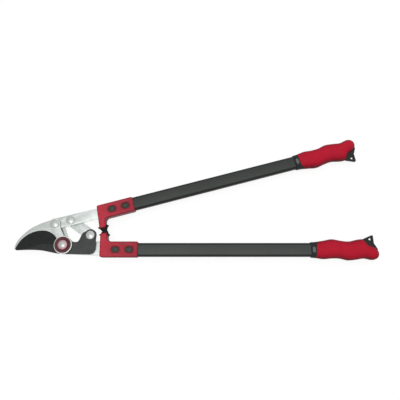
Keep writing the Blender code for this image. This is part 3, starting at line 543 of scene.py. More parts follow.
class Paint:
    """A Principled material whose nodes are added one by one, in the object's own coordinates."""

    def __init__(self, name, metallic=0.0, gloss=0.5):
        self.made = bpy.data.materials.new(name)
        self.made.use_nodes = True
        self.tree = self.made.node_tree
        self.shader = self.tree.nodes["Principled BSDF"].inputs
        self.shader["Metallic"].default_value = metallic
        self.shader["Specular IOR Level"].default_value = gloss
        coordinates = self.add("ShaderNodeTexCoord")
        self.at = coordinates["Object"]
        self.facing = coordinates["Normal"]

    def add(self, kind, *values, **keys):
        return add_node(self.tree, kind, *values, **keys)

    def noise(self, size, stretch=1, turn=0.0, detail=3.0, vector=None):
        """Noise with grains of about a size in millimetres, stretched along a line at a turn."""
        mapped = self.add("ShaderNodeMapping", vector_type="TEXTURE", Vector=vector or self.at,
                          Scale=(stretch, 1, 1), Rotation=(0, 0, radians(turn)))["Vector"]
        return self.add("ShaderNodeTexNoise", Vector=mapped, Scale=1 / (size * MM), Detail=detail)["Fac"]

    def ramp(self, value, low, high, span=RAMP_SPAN):
        """Goes from one colour or number to another while a value goes through a span."""
        made = self.add("ShaderNodeValToRGB", Fac=value)["Color"]
        for element, position, colour in zip(made.node.color_ramp.elements, span, (low, high)):
            element.position = position
            grey = isinstance(colour, float)
            element.color = (colour, colour, colour, 1) if grey else (*linear(colour), 1)
        return made

    def blend(self, value, first, second):
        """Mixes two colours by a value."""
        return self.add("ShaderNodeMix", data_type="RGBA", Factor=value, A=first, B=second)["Result"]

    def maths(self, operation, *values):
        return self.add("ShaderNodeMath", *values, operation=operation)["Value"]

    def between(self, value, start, end):
        """0 to 1 while a distance goes from one to another, in millimetres."""
        return self.add("ShaderNodeMapRange", value, From_Min=start * MM, From_Max=end * MM)["Result"]

    def along(self, start, end, axis="X"):
        """0 to 1 between two places along one of the object's own axes, in millimetres."""
        return self.between(self.add("ShaderNodeSeparateXYZ", self.at)[axis], start, end)

    def flank_shade_mask(self, low, high):
        """0 on a piece's flanks and 1 on its flats, by how far the surface faces up or down; it masks
        painted shade on the flanks.
        """
        up = self.add("ShaderNodeSeparateXYZ", self.facing)["Z"]
        return self.ramp(self.maths("ABSOLUTE", up), 0.0, 1.0, (low, high))

    def done(self, colour, rough, *reliefs):
        """The material with a colour, a ramp of its roughness and (height, depth in mm) reliefs."""
        self.tree.links.new(colour, self.shader["Base Color"])
        self.tree.links.new(self.ramp(*rough), self.shader["Roughness"])
        below = {}
        for height, depth in reliefs:
            bump = self.add("ShaderNodeBump", Height=height, Distance=depth * MM, **below)
            below = {"Normal": bump["Normal"]}
        self.tree.links.new(below["Normal"], self.shader["Normal"])
        return self.made


def satin_steel(name, grain_angle, sheen_tones):
    """Bright plate with a fine grain and faint clouds, whose tone changes along it as a painted
    reflection of the light.
    """
    paint = Paint(name, metallic=1.0)
    cloud = paint.noise(9.0, detail=4.0)
    grain = paint.noise(0.5, stretch=14, turn=grain_angle, detail=2.0)
    ends = [paint.ramp(cloud, (tone - 8, tone - 2, tone - 5), (tone + 8, tone + 13, tone + 10))
            for tone in sheen_tones]
    return paint.done(paint.blend(paint.along(*STEEL_SHEEN_FADE), *ends), (grain, 0.36, 0.48),
                      (grain, 0.012), (paint.noise(0.35), 0.01))


def polished_steel(name, red_reflection_from=0.0):
    """Bright turned steel with faint rings, and outside a radius in millimetres a painted red reflection
    of the ring.
    """
    paint = Paint(name, metallic=1.0)
    flat = paint.add("ShaderNodeVectorMath", paint.at, (1, 1, 0), operation="MULTIPLY")["Vector"]
    radius = paint.add("ShaderNodeVectorMath", flat, operation="LENGTH")["Value"]
    smudge = paint.noise(3.0)
    plain = paint.ramp(smudge, (188, 192, 190), (202, 205, 203))
    # The red tone is a painted reflection of the dished ring
    if red_reflection_from:
        red = paint.ramp(smudge, (192, 154, 157), (204, 164, 167))
        plain = paint.blend(paint.between(radius, red_reflection_from, 2 * red_reflection_from), plain, red)
    outwards = paint.add("ShaderNodeCombineXYZ", radius)["Vector"]
    return paint.done(plain, (smudge, 0.24, 0.34), (paint.noise(0.3, vector=outwards), 0.006))


def coated_steel(name):
    """Dark low-friction coating over a ground plate, lighter behind the bolt as a painted reflection."""
    paint = Paint(name, gloss=0.2)
    cloud = paint.noise(14.0, detail=4.0)
    scuff = paint.noise(0.9, stretch=18, turn=8.0)
    dark = paint.ramp(cloud, (36, 38, 37), (44, 46, 45))
    light = paint.ramp(cloud, (59, 61, 60), (68, 70, 69))
    colour = paint.blend(paint.along(*COATING_SHEEN_FADE), dark, light)
    return paint.done(colour, (scuff, 0.36, 0.5, (0.35, 0.65)), (paint.noise(0.4), 0.015),
                      (scuff, 0.008))


def ground_steel(name):
    """The ground bevel under its dark coating, with wheel marks square to the cutting edge."""
    paint = Paint(name, gloss=0.2)
    centre = (JAW_CENTRE.x * MM, JAW_CENTRE.y * MM, 0)
    moved = paint.add("ShaderNodeVectorMath", paint.at, centre, operation="SUBTRACT")["Vector"]
    parts = paint.add("ShaderNodeSeparateXYZ", moved)
    turn = paint.maths("ARCTAN2", parts["Y"], parts["X"])
    along_edge = paint.add("ShaderNodeCombineXYZ", paint.maths("MULTIPLY", turn, BLADE_EDGE_RADIUS * MM))
    marks = paint.noise(0.35, vector=along_edge["Vector"], detail=2.0)
    return paint.done(paint.ramp(paint.noise(12.0), (22, 24, 24), (30, 32, 31)), (marks, 0.34, 0.5),
                      (marks, 0.01))


def ring_paint(name):
    """Dark red gloss paint on the dished ring."""
    paint = Paint(name, metallic=0.2, gloss=0.3)
    cloud = paint.noise(2.5)
    return paint.done(paint.ramp(cloud, (80, 36, 42), (94, 44, 51)), (cloud, 0.32, 0.44),
                      (paint.noise(0.6), 0.01))


def moulded_red(name):
    """Hard red plastic with a fine moulded grain, with painted shade towards its rear and on its flanks.
    """
    paint = Paint(name, gloss=0.3)
    cloud = paint.noise(16.0, detail=4.0)
    grain = paint.noise(0.45, detail=2.0)
    front = paint.ramp(cloud, (174, 28, 49), (186, 36, 58))
    # The rear and flank tones are painted shade
    rear = paint.ramp(cloud, (152, 26, 46), (163, 34, 54))
    shaded_flank = paint.ramp(cloud, (114, 9, 24), (122, 12, 28))
    face = paint.blend(paint.along(*SOCKET_SHADE_FADE), front, rear)
    return paint.done(paint.blend(paint.flank_shade_mask(0.35, 0.98), shaded_flank, face), (grain, 0.38, 0.52),
                      (grain, 0.03))


def recess_shade_red(name):
    """The same plastic on the walls of the windows, painted dark as the shade in these recesses."""
    paint = Paint(name, gloss=0.2)
    recess_shade_mottle = paint.noise(1.5, detail=4.0)
    return paint.done(paint.ramp(recess_shade_mottle, (86, 38, 41), (100, 46, 49)), (recess_shade_mottle, 0.5, 0.65),
                      (paint.noise(0.45, detail=2.0), 0.03))


def grip_red(name):
    """Soft red grip with a matt, finely pebbled skin, and painted shade on its flanks."""
    paint = Paint(name, gloss=0.2)
    cloud = paint.noise(20.0, detail=4.0)
    pebble = paint.noise(0.8, detail=2.0)
    face = paint.ramp(cloud, (174, 6, 37), (184, 12, 44))
    # The flank tone is painted shade
    shaded_flank = paint.ramp(cloud, (92, 3, 17), (100, 5, 21))
    return paint.done(paint.blend(paint.flank_shade_mask(0.32, 1.0), shaded_flank, face), (pebble, 0.55, 0.7),
                      (pebble, 0.05))


def tube_paint(name, middle_shade_tone):
    """Satin black powder coat with painted shade on the tube's round edges, and painted light that
    changes its tone across its flats.
    """
    paint = Paint(name, gloss=0.25)
    peel = paint.noise(1.1, detail=2.0)
    cloud = paint.noise(30.0, stretch=3, detail=4.0)
    lit_and_shaded_flats = [paint.ramp(cloud, (tone - 3, tone + 1, tone - 2), (tone + 4, tone + 8, tone + 5))
             for tone in (middle_shade_tone - TUBE_SHADE_FADE, middle_shade_tone + TUBE_SHADE_FADE)]
    flats = paint.blend(paint.along(TUBE_WIDTH / 4, -TUBE_WIDTH / 4, "Y"), *lit_and_shaded_flats)
    # The darker edge tone is painted shade on the round edges
    edges = paint.ramp(cloud, (18, 20, 18), (24, 26, 24))
    return paint.done(paint.blend(paint.flank_shade_mask(0.86, 0.998), edges, flats), (peel, 0.36, 0.46),
                      (peel, 0.02))


def black_moulding(name, lighter=0):
    """Black plastic with a fine moulded grain, lighter by so much."""
    paint = Paint(name, gloss=0.25)
    grain = paint.noise(0.5, detail=2.0)
    low, high = ([c + lighter for c in colour] for colour in ((24, 28, 27), (31, 35, 34)))
    return paint.done(paint.ramp(paint.noise(8.0), low, high), (grain, 0.45, 0.6), (grain, 0.03))


def black_rubber(name):
    """Matt rubber with a faint bloom."""
    paint = Paint(name, gloss=0.2)
    bloom = paint.noise(3.0, detail=5.0)
    grain = paint.noise(0.3)
    return paint.done(paint.ramp(bloom, (18, 19, 20), (27, 29, 29), (0.35, 0.75)), (grain, 0.62, 0.78),
                      (grain, 0.03))


def blackened_rivet(name):
    """Oxide-black rivet head, rubbed lighter in patches."""
    paint = Paint(name, metallic=0.4)
    rub = paint.noise(1.5, detail=4.0)
    span = (0.35, 0.75)
    return paint.done(paint.ramp(rub, (50, 55, 50), (66, 71, 65), span), (rub, 0.36, 0.5, span),
                      (paint.noise(0.4), 0.01))


# Steel head


def flat_outlines(node, height, where):
    """Outlines of a CAD plate's flat face at a height, in millimetres in a frame, border first."""
    bm = bmesh.new()
    bm.from_mesh(frame["nodes"][node].data)
    bmesh.ops.remove_doubles(bm, verts=bm.verts, dist=1e-6)
    bm.transform(Matrix.Scale(1 / MM, 4) @ where.inverted())
    flat = {face for face in bm.faces if all(abs(v.co.z - height) < SAME_HEIGHT for v in face.verts)}
    border = [edge for edge in bm.edges if sum(face in flat for face in edge.link_faces) == 1]
    outlines = []
    while border:
        edge = border.pop()
        start, at = edge.verts
        outline = [start.co.xy, at.co.xy]
        while at is not start:
            edge = next(e for e in at.link_edges if e in border)
            border.remove(edge)
            at = edge.other_vert(at)
            outline.append(at.co.xy)
        outlines.append(without_repeats(outline[:-1]))
    bm.free()
    return sorted(outlines, key=lambda outline: -abs(doubled_area(outline)))


def without_repeats(outline):
    """Drops points that lie on the straight line between their neighbours."""
    kept = []
    for i, point in enumerate(outline):
        before = point - outline[i - 1]
        after = outline[(i + 1) % len(outline)] - point
        if before.angle(after, 0) > radians(SAME_LINE):
            kept.append(point)
    return kept


def plates():
    """Hook, strap, lever and link with round edges, on the outlines of their solids."""
    # Each plate's last two numbers are its tones at the two ends of the painted reflection along it
    rows = (
        ("hook_blade", BOLT_FRAME, "lower_handle", HOOK_BACK, HOOK_FRONT, 0.0, (199, 212)),
        ("hook_strap", BOLT_FRAME, "lower_handle", STRAP_BACK, STRAP_FRONT, 115.0, (210, 210)),
        ("upper_lever", LEVER_FRAME, "upper_handle", BLADE_BACK, BLADE_FRONT, 0.0, (192, 226)),
        ("compound_link", EAR_FRAME, "link", HOOK_BACK, HOOK_FRONT, -32.0, (206, 206)),
    )
    for node, where, body, bottom, top, grain_angle, sheen_tones in rows:
        bm = soft_plate(flat_outlines(node, top, where), bottom, top)
        made = make(node + "_plate", bm, where, satin_steel(node + "_steel", grain_angle, sheen_tones))
        dress(made, body, node)


def jaw_edge(steps):
    """The cutting edge, an arc that falls in near the strap."""
    start, end = JAW_ARC
    angles = [start + (end - start) * i / steps for i in range(steps + 1)]
    falls = [BLADE_EDGE_FALL * max(0.0, 90 - angle) ** 2 for angle in angles]
    return [JAW_CENTRE + (BLADE_EDGE_RADIUS - fall) * direction(a) for a, fall in zip(angles, falls)]


def blade_outlines():
    """The blade's outline at its back and front, and how many of its points are cutting edge."""
    steps = 10
    edge = jaw_edge(steps * (len(GROUND_LINE) - 1))
    hub = arc((0, 0), HUB_RADIUS, *HUB_ARC, 20)
    ear = EAR_RIVET_AT
    ear_start = ear + EAR_RADIUS * direction(EAR_FROM)
    rest = rounded([BLADE_VALLEY_START, *BLADE_VALLEY, (*ear_start, 0)])[1:-1]
    rest += arc(ear, EAR_RADIUS, *EAR_ARC, 24)
    rest += rounded([(ear.x + EAR_RADIUS, ear.y, 0), (HEEL[0], ear.y / 2, 0), HEEL, HEEL_END], 14)[1:]
    belly = spline(BLADE_BELLY, 8)
    rest += belly[:-1]
    back = edge + hub + rest + belly[-1:]
    front = spline(GROUND_LINE, steps) + hub + rest + [belly[-1] + GROUND_TIP_SETBACK]
    return back, front, len(edge)


def cutting_blade():
    """Dark blade with its ground bevel, on the back outline's cutting edge."""
    back, front, ground = blade_outlines()
    bm = bmesh.new()
    low = [(offset(back, -inset), BLADE_BACK + drop) for inset, drop in rim(PLATE_EDGE)]
    high = [(offset(front, -inset), BLADE_FRONT - drop) for inset, drop in reversed(rim(PLATE_EDGE))]
    rows = []
    for outline, height in low:
        outline[:ground] = back[:ground]
        land = BLADE_BACK + (height - BLADE_BACK) / PLATE_EDGE * EDGE_LAND
        rows.append(ring_of(bm, outline[:ground], land) + ring_of(bm, outline[ground:], height))
    rows += [ring_of(bm, outline, height) for outline, height in high]
    skin(bm, rows)
    bm.faces.ensure_lookup_table()
    bevel = (len(low) - 1) * len(back)
    for face in bm.faces[bevel + 1:bevel + ground]:
        face.material_index = 1
    ends = [(rows[0], rows[-1])]
    for at, radius in (((0, 0), BOLT_RADIUS), (EAR_RIVET_AT, RIVET_RADIUS)):
        ends.append(wall(bm, circle(at, radius + GAP), BLADE_BACK, BLADE_FRONT))
    for rings in zip(*ends):
        cap(bm, rings)
    made = make("cutting_blade_ground", bm, BOLT_FRAME, coated_steel("blade_coating"),
                ground_steel("blade_bevel"), sharp=20)
    dress(made, "blade", "cutting_blade")


def crown(radius, height, base, up, steps=10):
    """Points of a low ball-shaped cap, from its edge to its top."""
    ball = (radius ** 2 + height ** 2) / (2 * height)
    spread = asin(radius / ball)
    turns = [spread * (1 - k / steps) for k in range(steps + 1)]
    return [(ball * sin(t), base + up * (ball * cos(t) - ball + height)) for t in turns]


def button(radius, height, base, up):
    """Profile of a rivet head from its foot to its top: a low wall, a soft corner and a flat cap."""
    side = height * HEAD_WALL_SHARE
    foot = [(radius, base), (radius, base + up * (side - HEAD_CORNER)),
            (radius - HEAD_SOFT, base + up * (side - HEAD_SOFT))]
    return foot + crown(radius - HEAD_CORNER, height - side, base + up * side, up)


def rivet(front, back, shank, radius, height):
    """A rivet with a head on a front face and one on a back face."""
    front_head = button(radius, height, front, 1)
    back_head = button(radius, height, back, -1)
    return turned(front_head[::-1] + [(shank, front), (shank, back)] + back_head)


def linkage_rivets():
    """Hook to lever, lever to link, and link to blade."""
    rows = (
        ("hook_rivet", LEVER_FRAME, 0.0, "lower_handle", STRAP_FRONT),
        ("lever_link_rivet", LEVER_FRAME, LEVER_RIVET_SPACING, "upper_handle", BLADE_FRONT),
        ("blade_link_rivet", EAR_FRAME, 0.0, "blade", BLADE_FRONT),
    )
    for node, where, along, body, face in rows:
        bm = rivet(face + GAP, HOOK_BACK - GAP, RIVET_RADIUS, RIVET_HEAD_RADIUS, RIVET_HEAD_HEIGHT)
        spot = where @ Matrix.Translation((along * MM, 0, 0))
        made = make(node + "_heads", bm, spot, polished_steel(node + "_steel"))
        dress(made, body, node)


def on_bolt(name, profile, finish, node, steps=BOLT_STEPS):
    """A turned piece round the main bolt's axis."""
    dress(make(name, turned(profile, steps), BOLT_FRAME, finish), "lower_handle", node)


def main_pivot():
    """Domed bolt in its dished ring, with the washer and the chamfered nut behind."""
    seat = STRAP_FRONT + GAP
    head_seat = seat + BOLT_SEAT
    washer_front = HOOK_BACK - GAP
    washer_back = washer_front - WASHER_THICKNESS
    nut_front = washer_back - GAP
    end = -GRIP_HALF
    bore = BOLT_RADIUS + GAP
    ring = [(RING_RADIUS, seat)]
    ring += [(RING_RADIUS - inset, seat + RING_HEIGHT - drop) for inset, drop in RING_CREST]
    ring += [(BOLT_HEAD_RADIUS + DISH_FOOT[0], head_seat),
             (BOLT_HEAD_RADIUS + DISH_FOOT[1], head_seat - GAP),
             (bore, head_seat - GAP), (bore, seat)]
    on_bolt("pivot_ring_dished", ring, ring_paint("ring_paint"), "pivot_ring",
            RING_STEPS)

    bolt = button(BOLT_HEAD_RADIUS, BOLT_HEAD_HEIGHT, head_seat, 1)[::-1]
    bolt += [(BOLT_RADIUS, head_seat), (BOLT_RADIUS, nut_front)]
    for k in range(int((nut_front - end - THREAD_END) / THREAD_PITCH)):
        bolt += [(BOLT_RADIUS - THREAD_DEPTH, nut_front - THREAD_PITCH * (k + 0.5)),
                 (BOLT_RADIUS, nut_front - THREAD_PITCH * (k + 1))]
    bolt_end = end + BOLT_END_SINK
    bolt += [(BOLT_RADIUS - BOLT_END_SLOPE, bolt_end), (0, bolt_end)]
    on_bolt("main_bolt_domed", bolt, polished_steel("bolt_steel", BOLT_RED_REFLECTION_FROM), "main_bolt")

    narrow = WASHER_RADIUS - WASHER_EDGE
    washer = [(narrow, washer_front), (bore, washer_front), (bore, washer_back), (narrow, washer_back),
              (WASHER_RADIUS, washer_back + WASHER_EDGE), (WASHER_RADIUS, washer_front - WASHER_EDGE)]
    on_bolt("nut_washer_pressed", washer, polished_steel("washer_steel"), "nut_washer")
    main_nut(end, nut_front, bore)


def main_nut(low, high, bore):
    """Six-sided nut, cut by a bored form that chamfers its corners at both ends."""
    corner = NUT_WIDTH / 2 / cos(radians(30))
    hexagon = circle((0, 0), corner, 6)
    bm = loft([[(p.x, p.y, z) for p in hexagon] for z in (low, high)])
    for face in bm.faces:
        face.smooth = False
    nut = make("main_nut_chamfered", bm, BOLT_FRAME, polished_steel("nut_steel"), sharp=20)
    flat = NUT_WIDTH / 2 - NUT_FACE_INSET
    drop = (corner - flat) * tan(radians(30)) + NUT_EDGE
    wide = corner + NUT_CONE_PAST
    form = turned([(bore, low - CUT_PAST), (flat, low - CUT_PAST), (flat, low), (wide, low + drop),
                   (wide, high - drop), (flat, high), (flat, high + CUT_PAST), (bore, high + CUT_PAST)],
                  BOLT_STEPS)
    cut(nut, [make("nut_form", form, BOLT_FRAME)], "INTERSECT", sharp=20)
    dress(nut, "lower_handle", "main_nut")


# Handles


@dataclass
class Handle:
    """One handle, in a frame with x along the tube from the socket's front.

    inward is the sign of the frame's y on the side of the other handle.
    """

    name: str
    where: Matrix
    inward: int
    plate_faces: tuple
    plate_edges: tuple
    length: float
    lean: float
    walls: tuple
    tube_tone: int

    def __post_init__(self):
        self.body = self.name + "_handle"
        self.tube_start = self.length - TUBE_IN_SOCKET
        self.grip_start = self.length + TUBE_SHOWN
        self.tube_end = self.grip_start + TUBE_IN_GRIP
        rear = self.length - RIVET_FROM_END
        self.rivets = (rear - RIVET_SPACING, rear)

    def flip(self, outline):
        """Outline points with y towards the other handle, turned into the frame's own y."""
        return [Vector((p[0], p[1] * self.inward)) for p in outline]

    def on_grip(self, corners):
        """A rounded outline whose distances are from the grip's front, in the frame's own y."""
        return self.flip(rounded([(x + self.grip_start, y, radius) for x, y, radius in corners]))

    def piece(self, name, bm, *finishes, **how):
        """A piece in this handle's frame."""
        return make(self.name + name, bm, self.where, *finishes, **how)

    def dress(self, made, node, slot):
        dress(made, self.body, self.name + node)

    def cutters(self, *meshes):
        return [make("cutter", bm, self.where) for bm in meshes]

    def arm_frame(self):
        """Frame at the arm's end, with +Z towards the other handle."""
        turn = Matrix.Rotation(radians(-90 * self.inward), 4, "X")
        middle = ARM_WIDTH / 2 - self.lean
        end = Matrix.Translation((middle * MM, self.inward * ARM_HEIGHT * MM, 0))
        return self.where @ end @ turn


LEVER_EDGES = (LEVER_WIDTH / 2 - LEVER_TAPER - UPPER_AXIS_SHIFT, LEVER_WIDTH / 2 + UPPER_AXIS_SHIFT)
LOWER = Handle("lower", LOWER_FRAME, 1, (HOOK_BACK, HOOK_FRONT), (TANG_WIDTH / 2, TANG_WIDTH / 2),
               **LOWER_SOCKET)
UPPER = Handle("upper", UPPER_FRAME, -1, (BLADE_BACK, BLADE_FRONT), LEVER_EDGES, **UPPER_SOCKET)


def tube(handle):
    outer, inner = tube_section(0.0), tube_section(-TUBE_WALL)
    sections = [across(outer, handle.tube_start), across(outer, handle.tube_end),
                across(inner, handle.tube_end), across(inner, handle.tube_start)]
    made = handle.piece("_tube_coated", loft(sections, closed=True),
                        tube_paint(handle.name + "_tube_paint", handle.tube_tone))
    handle.dress(made, "_tube", "black_tube")


def window_cutter(along):
    """Oval pocket that flares from the tube to both faces of the socket, with a soft rim."""
    reach = (WINDOW_LENGTH - WINDOW_WIDTH) / 2
    face = SOCKET_DEPTH / 2
    soft_from = WINDOW_FLARE * (face - WINDOW_ROUND - TUBE_SEAT)
    wide = soft_from + WINDOW_RIM
    half = [(TUBE_SEAT, reach - WINDOW_LIP, -WINDOW_LIP), (face - WINDOW_ROUND, reach, soft_from),
            (face, reach, wide), (face + CUT_PAST, reach, wide + 2 * CUT_PAST)]
    levels = [(-height, ends, grow) for height, ends, grow in reversed(half)] + half
    return loft([[(p.x, p.y, z)
                  for p in stadium((along - ends, 0), (along + ends, 0), WINDOW_WIDTH / 2 + grow)]
                 for z, ends, grow in levels])


def bumper_slot():
    """T-shaped slot along the arm's end, in which the bumper's flange sits."""
    mouth = BUMPER_WAIST.y + GAP
    deep = BUMPER_FLANGE.y + GAP
    floor_at = -ARM_LIP - FLANGE_THICKNESS - 2 * GAP
    half = [(mouth, ARM_LIP), (mouth, -ARM_LIP), (deep, -ARM_LIP), (deep, floor_at)]
    return prism(half + [(-y, z) for y, z in reversed(half)], -ARM_WIDTH, ARM_WIDTH)


def socket(handle):
    """Red moulded socket with its arm, bored for the tube and open over the two rivets."""
    outer, inner = (TUBE_WIDTH / 2 + GAP + thickness for thickness in handle.walls)
    end = handle.length
    left, right = -handle.lean, ARM_WIDTH - handle.lean
    outline = handle.flip(rounded([
        (0, -outer, SOCKET_CORNER), (end, -outer, SOCKET_CORNER), (end, inner, SOCKET_CORNER),
        (right, inner, ARM_FILLET), (right, ARM_HEIGHT, ARM_CORNER), (left, ARM_HEIGHT, ARM_CORNER)]))
    bm = soft_plate([outline], -SOCKET_DEPTH / 2, SOCKET_DEPTH / 2, edge=SOCKET_EDGE, steps=5)
    made = handle.piece("_socket_moulded", bm, moulded_red(handle.name + "_socket_red"),
                        recess_shade_red(handle.name + "_recess_shade_red"))
    back, front = handle.plate_faces
    low, high = (edge + GAP for edge in handle.plate_edges)
    inside = handle.tube_start + CUT_PAST
    slot = handle.flip([(SLOT_FROM, -low), (inside, -low), (inside, high), (SLOT_FROM, high)])
    cutters = handle.cutters(
        prism(tube_section(GAP), handle.tube_start - GAP, end + BORE_PAST),
        sharp_plate(slot, back - GAP, front + GAP),
        *(window_cutter(along) for along in handle.rivets))
    cut(made, cutters + [make("cutter", bumper_slot(), handle.arm_frame())], sharp=35)
    # Faces on the window walls take the second material, which paints the shade in the windows
    for face in made.data.polygons:
        x, y, z = face.center / MM
        beside = min(abs(x - along) for along in handle.rivets)
        near = beside < WINDOW_LENGTH / 2 + WINDOW_ROUND and abs(y) < WINDOW_WIDTH / 2 + WINDOW_ROUND
        face.material_index = int(near and WINDOW_LOW < abs(z) < SOCKET_DEPTH / 2 - WINDOW_ROUND / 2)
    handle.dress(made, "_socket", "red_socket")


def tube_rivets(handle):
    for end, along in zip(("front", "rear"), handle.rivets):
        node = handle.name + "_socket_rivet_" + end
        bm = rivet(TUBE_SEAT, -TUBE_SEAT, TUBE_RIVET_RADIUS, TUBE_RIVET_HEAD_RADIUS,
                   TUBE_RIVET_HEAD_HEIGHT)
        spot = handle.where @ Matrix.Translation((along * MM, 0, 0))
        made = make(node + "_heads", bm, spot, blackened_rivet(node + "_oxide"))
        dress(made, handle.body, node)


def bumper_height():
    """Height at which the slanted tips of the bumpers are a gap apart when the tool is shut."""
    ends = [handle.arm_frame().translation.xy / MM for handle in (LOWER, UPPER)]
    half = UPPER_HANDLE_ANGLE / 2
    between = (ends[1] - ends[0]).dot(direction(90 + half))
    return (between - BUMPER_GAP) / (2 * cos(radians(half)))


def bumper(handle):
    """Rubber bumper: a flange in the arm's slot and a nose whose slanted tip meets the other one."""
    height = bumper_height()
    slant = tan(radians(UPPER_HANDLE_ANGLE / 2))
    top = -ARM_LIP - GAP
    bottom = top - FLANGE_THICKNESS
    inset, drop = BUMPER_FLANGE_ROUND
    turns = quarter_turn(4)
    edge = [(drop * (1 - sin(t)), Vector((inset, inset)) * (1 - cos(t))) for t in turns]
    levels = [(bottom + rise, 0.0, BUMPER_FLANGE - shrink) for rise, shrink in reversed(edge)]
    levels += [(top - rise, 0.0, BUMPER_FLANGE - shrink) for rise, shrink in edge]
    levels += [(top, 0.0, BUMPER_WAIST), (0.0, 0.0, BUMPER_NECK)]
    levels += [(height - BUMPER_NOSE_LENGTH * (1 - sin(t)), slant,
                BUMPER_TIP + (BUMPER_NOSE - BUMPER_TIP) * cos(t)) for t in turns]
    sections = [[(size.x * p.x, size.y * p.y, z + rise * size.x * p.x) for p in circle((0, 0), 1)]
                for z, rise, size in levels]
    made = make(handle.name + "_bumper_rubber", loft(sections), handle.arm_frame(),
                black_rubber(handle.name + "_bumper_black"), sharp=50)
    handle.dress(made, "_bumper", "black_rubber")


def grip_section(position, shrink):
    """Section of the grip at a distance from its front: a rounded square about its own centre."""
    inner = smooth(GRIP_INNER, position) - shrink
    outer = smooth(GRIP_OUTER, position) - shrink
    into_end = max(0.0, position - GRIP_LENGTH + GRIP_END_ROUND) / GRIP_END_ROUND
    closing = sqrt(1 - into_end ** 2)
    middle, wide = (inner - outer) / 2, (inner + outer) / 2 * closing
    deep = min(GRIP_HALF, smooth(GRIP_THICKNESS, position) - shrink) * closing
    power = 2 / GRIP_SQUARENESS
    points = []
    for i in range(GRIP_STEPS):
        turn = 2 * pi * i / GRIP_STEPS
        y, z = (copysign(abs(part) ** power, part) for part in (cos(turn), sin(turn)))
        points.append((middle + wide * y, deep * z))
    return points


def grip_loft(handle, stations):
    """The grip's form through (distance from its front, shrink) stations."""
    return loft([across([(y * handle.inward, z) for y, z in grip_section(position, shrink)],
                        handle.grip_start + position) for position, shrink in stations], smooth_ends=True)


def beside_edge(handle, gap, beyond):
    """Everything on one side of the collar's curved edge, up to a distance from the grip's front."""
    edge = [(handle.grip_start + x + gap, y) for x, y in spline(COLLAR_EDGE, 8)]
    far = handle.grip_start + beyond
    outline = edge + [(far, edge[-1][1]), (far, edge[0][1])]
    return sharp_plate(handle.flip(outline), -2 * GRIP_HALF, 2 * GRIP_HALF)


def core_body(handle, grow):
    """The part of the core that the sleeve covers, grown by a clearance."""
    start = handle.grip_start
    return prism(tube_section(CORE_WALL + GAP + grow), start + CORE_BODY_FROM, start + CORE_LENGTH + grow)


def grip_core(handle):
    """Black core: collar, body round the tube, and the hanging tab with its eyelet."""
    lip = COLLAR_LIP[-1][0]
    step = (COLLAR_LENGTH - lip) / END_STATIONS
    stations = [*COLLAR_LIP, *((lip + step * i, 0.0) for i in range(1, END_STATIONS + 1))]
    made = handle.piece("_core_moulded", grip_loft(handle, stations),
                        black_moulding(handle.name + "_core_black"), sharp=50)
    cut(made, handle.cutters(beside_edge(handle, -GAP, 2 * COLLAR_LENGTH)))
    tab = soft_plate([handle.on_grip(TAB_OUTLINE), handle.on_grip(EYELET)],
                     -TAB_THICKNESS / 2, TAB_THICKNESS / 2, edge=TAB_EDGE)
    cut(made, handle.cutters(core_body(handle, 0.0), tab), "UNION")
    cut(made, handle.cutters(
        prism(tube_section(GAP), handle.grip_start - BORE_PAST, handle.tube_end + GAP),
        sharp_plate(plug_outline(handle, GAP), TUBE_DEPTH / 2 - CUT_PAST, GRIP_HALF)))
    handle.dress(made, "_grip_core", "black_plastic")


def plug_outline(handle, grow):
    """The oval plug in the collar, its long side across the handle."""
    reach = (PLUG_LENGTH - PLUG_WIDTH) / 2
    at = handle.grip_start + PLUG_FROM_FRONT
    return stadium((at, -reach), (at, reach), PLUG_WIDTH / 2 + grow)


def grip_plug(handle):
    top = smooth(GRIP_THICKNESS, PLUG_FROM_FRONT) - PLUG_SINK
    bm = soft_plate([plug_outline(handle, 0.0)], TUBE_SEAT, top, edge=PLUG_EDGE)
    made = handle.piece("_plug_moulded", bm, black_moulding(handle.name + "_plug_grey", PLUG_LIGHTER))
    handle.dress(made, "_grip_plug", "grey_plastic")


def grip_sleeve(handle):
    """Soft red sleeve with palm swells, over the core."""
    round_from = GRIP_LENGTH - GRIP_END_ROUND
    step = (round_from - CORE_BODY_FROM) / GRIP_STATIONS
    stations = [(CORE_BODY_FROM + step * i, 0.0) for i in range(GRIP_STATIONS)]
    stations += [(round_from + GRIP_END_ROUND * sin(radians(GRIP_END_TURN) * i / END_STATIONS), 0.0)
                 for i in range(END_STATIONS + 1)]
    made = handle.piece("_sleeve_soft", grip_loft(handle, stations),
                        grip_red(handle.name + "_grip_red"), sharp=60)
    around_tab = offset(handle.on_grip(TAB_OUTLINE), GAP)
    half = TAB_THICKNESS / 2 + GAP
    cut(made, handle.cutters(beside_edge(handle, 0.0, -COLLAR_LENGTH), core_body(handle, GAP),
                             sharp_plate(around_tab, -half, half)), sharp=50)
    handle.dress(made, "_grip_sleeve", "red_grip")


def insert_finish(handle):
    """The insert stays the CAD node, with a material of its own."""
    materials = frame["nodes"][handle.name + "_insert"].data.materials
    materials.clear()
    materials.append(black_moulding(handle.name + "_insert_black", INSERT_LIGHTER))


# Floor, light and camera


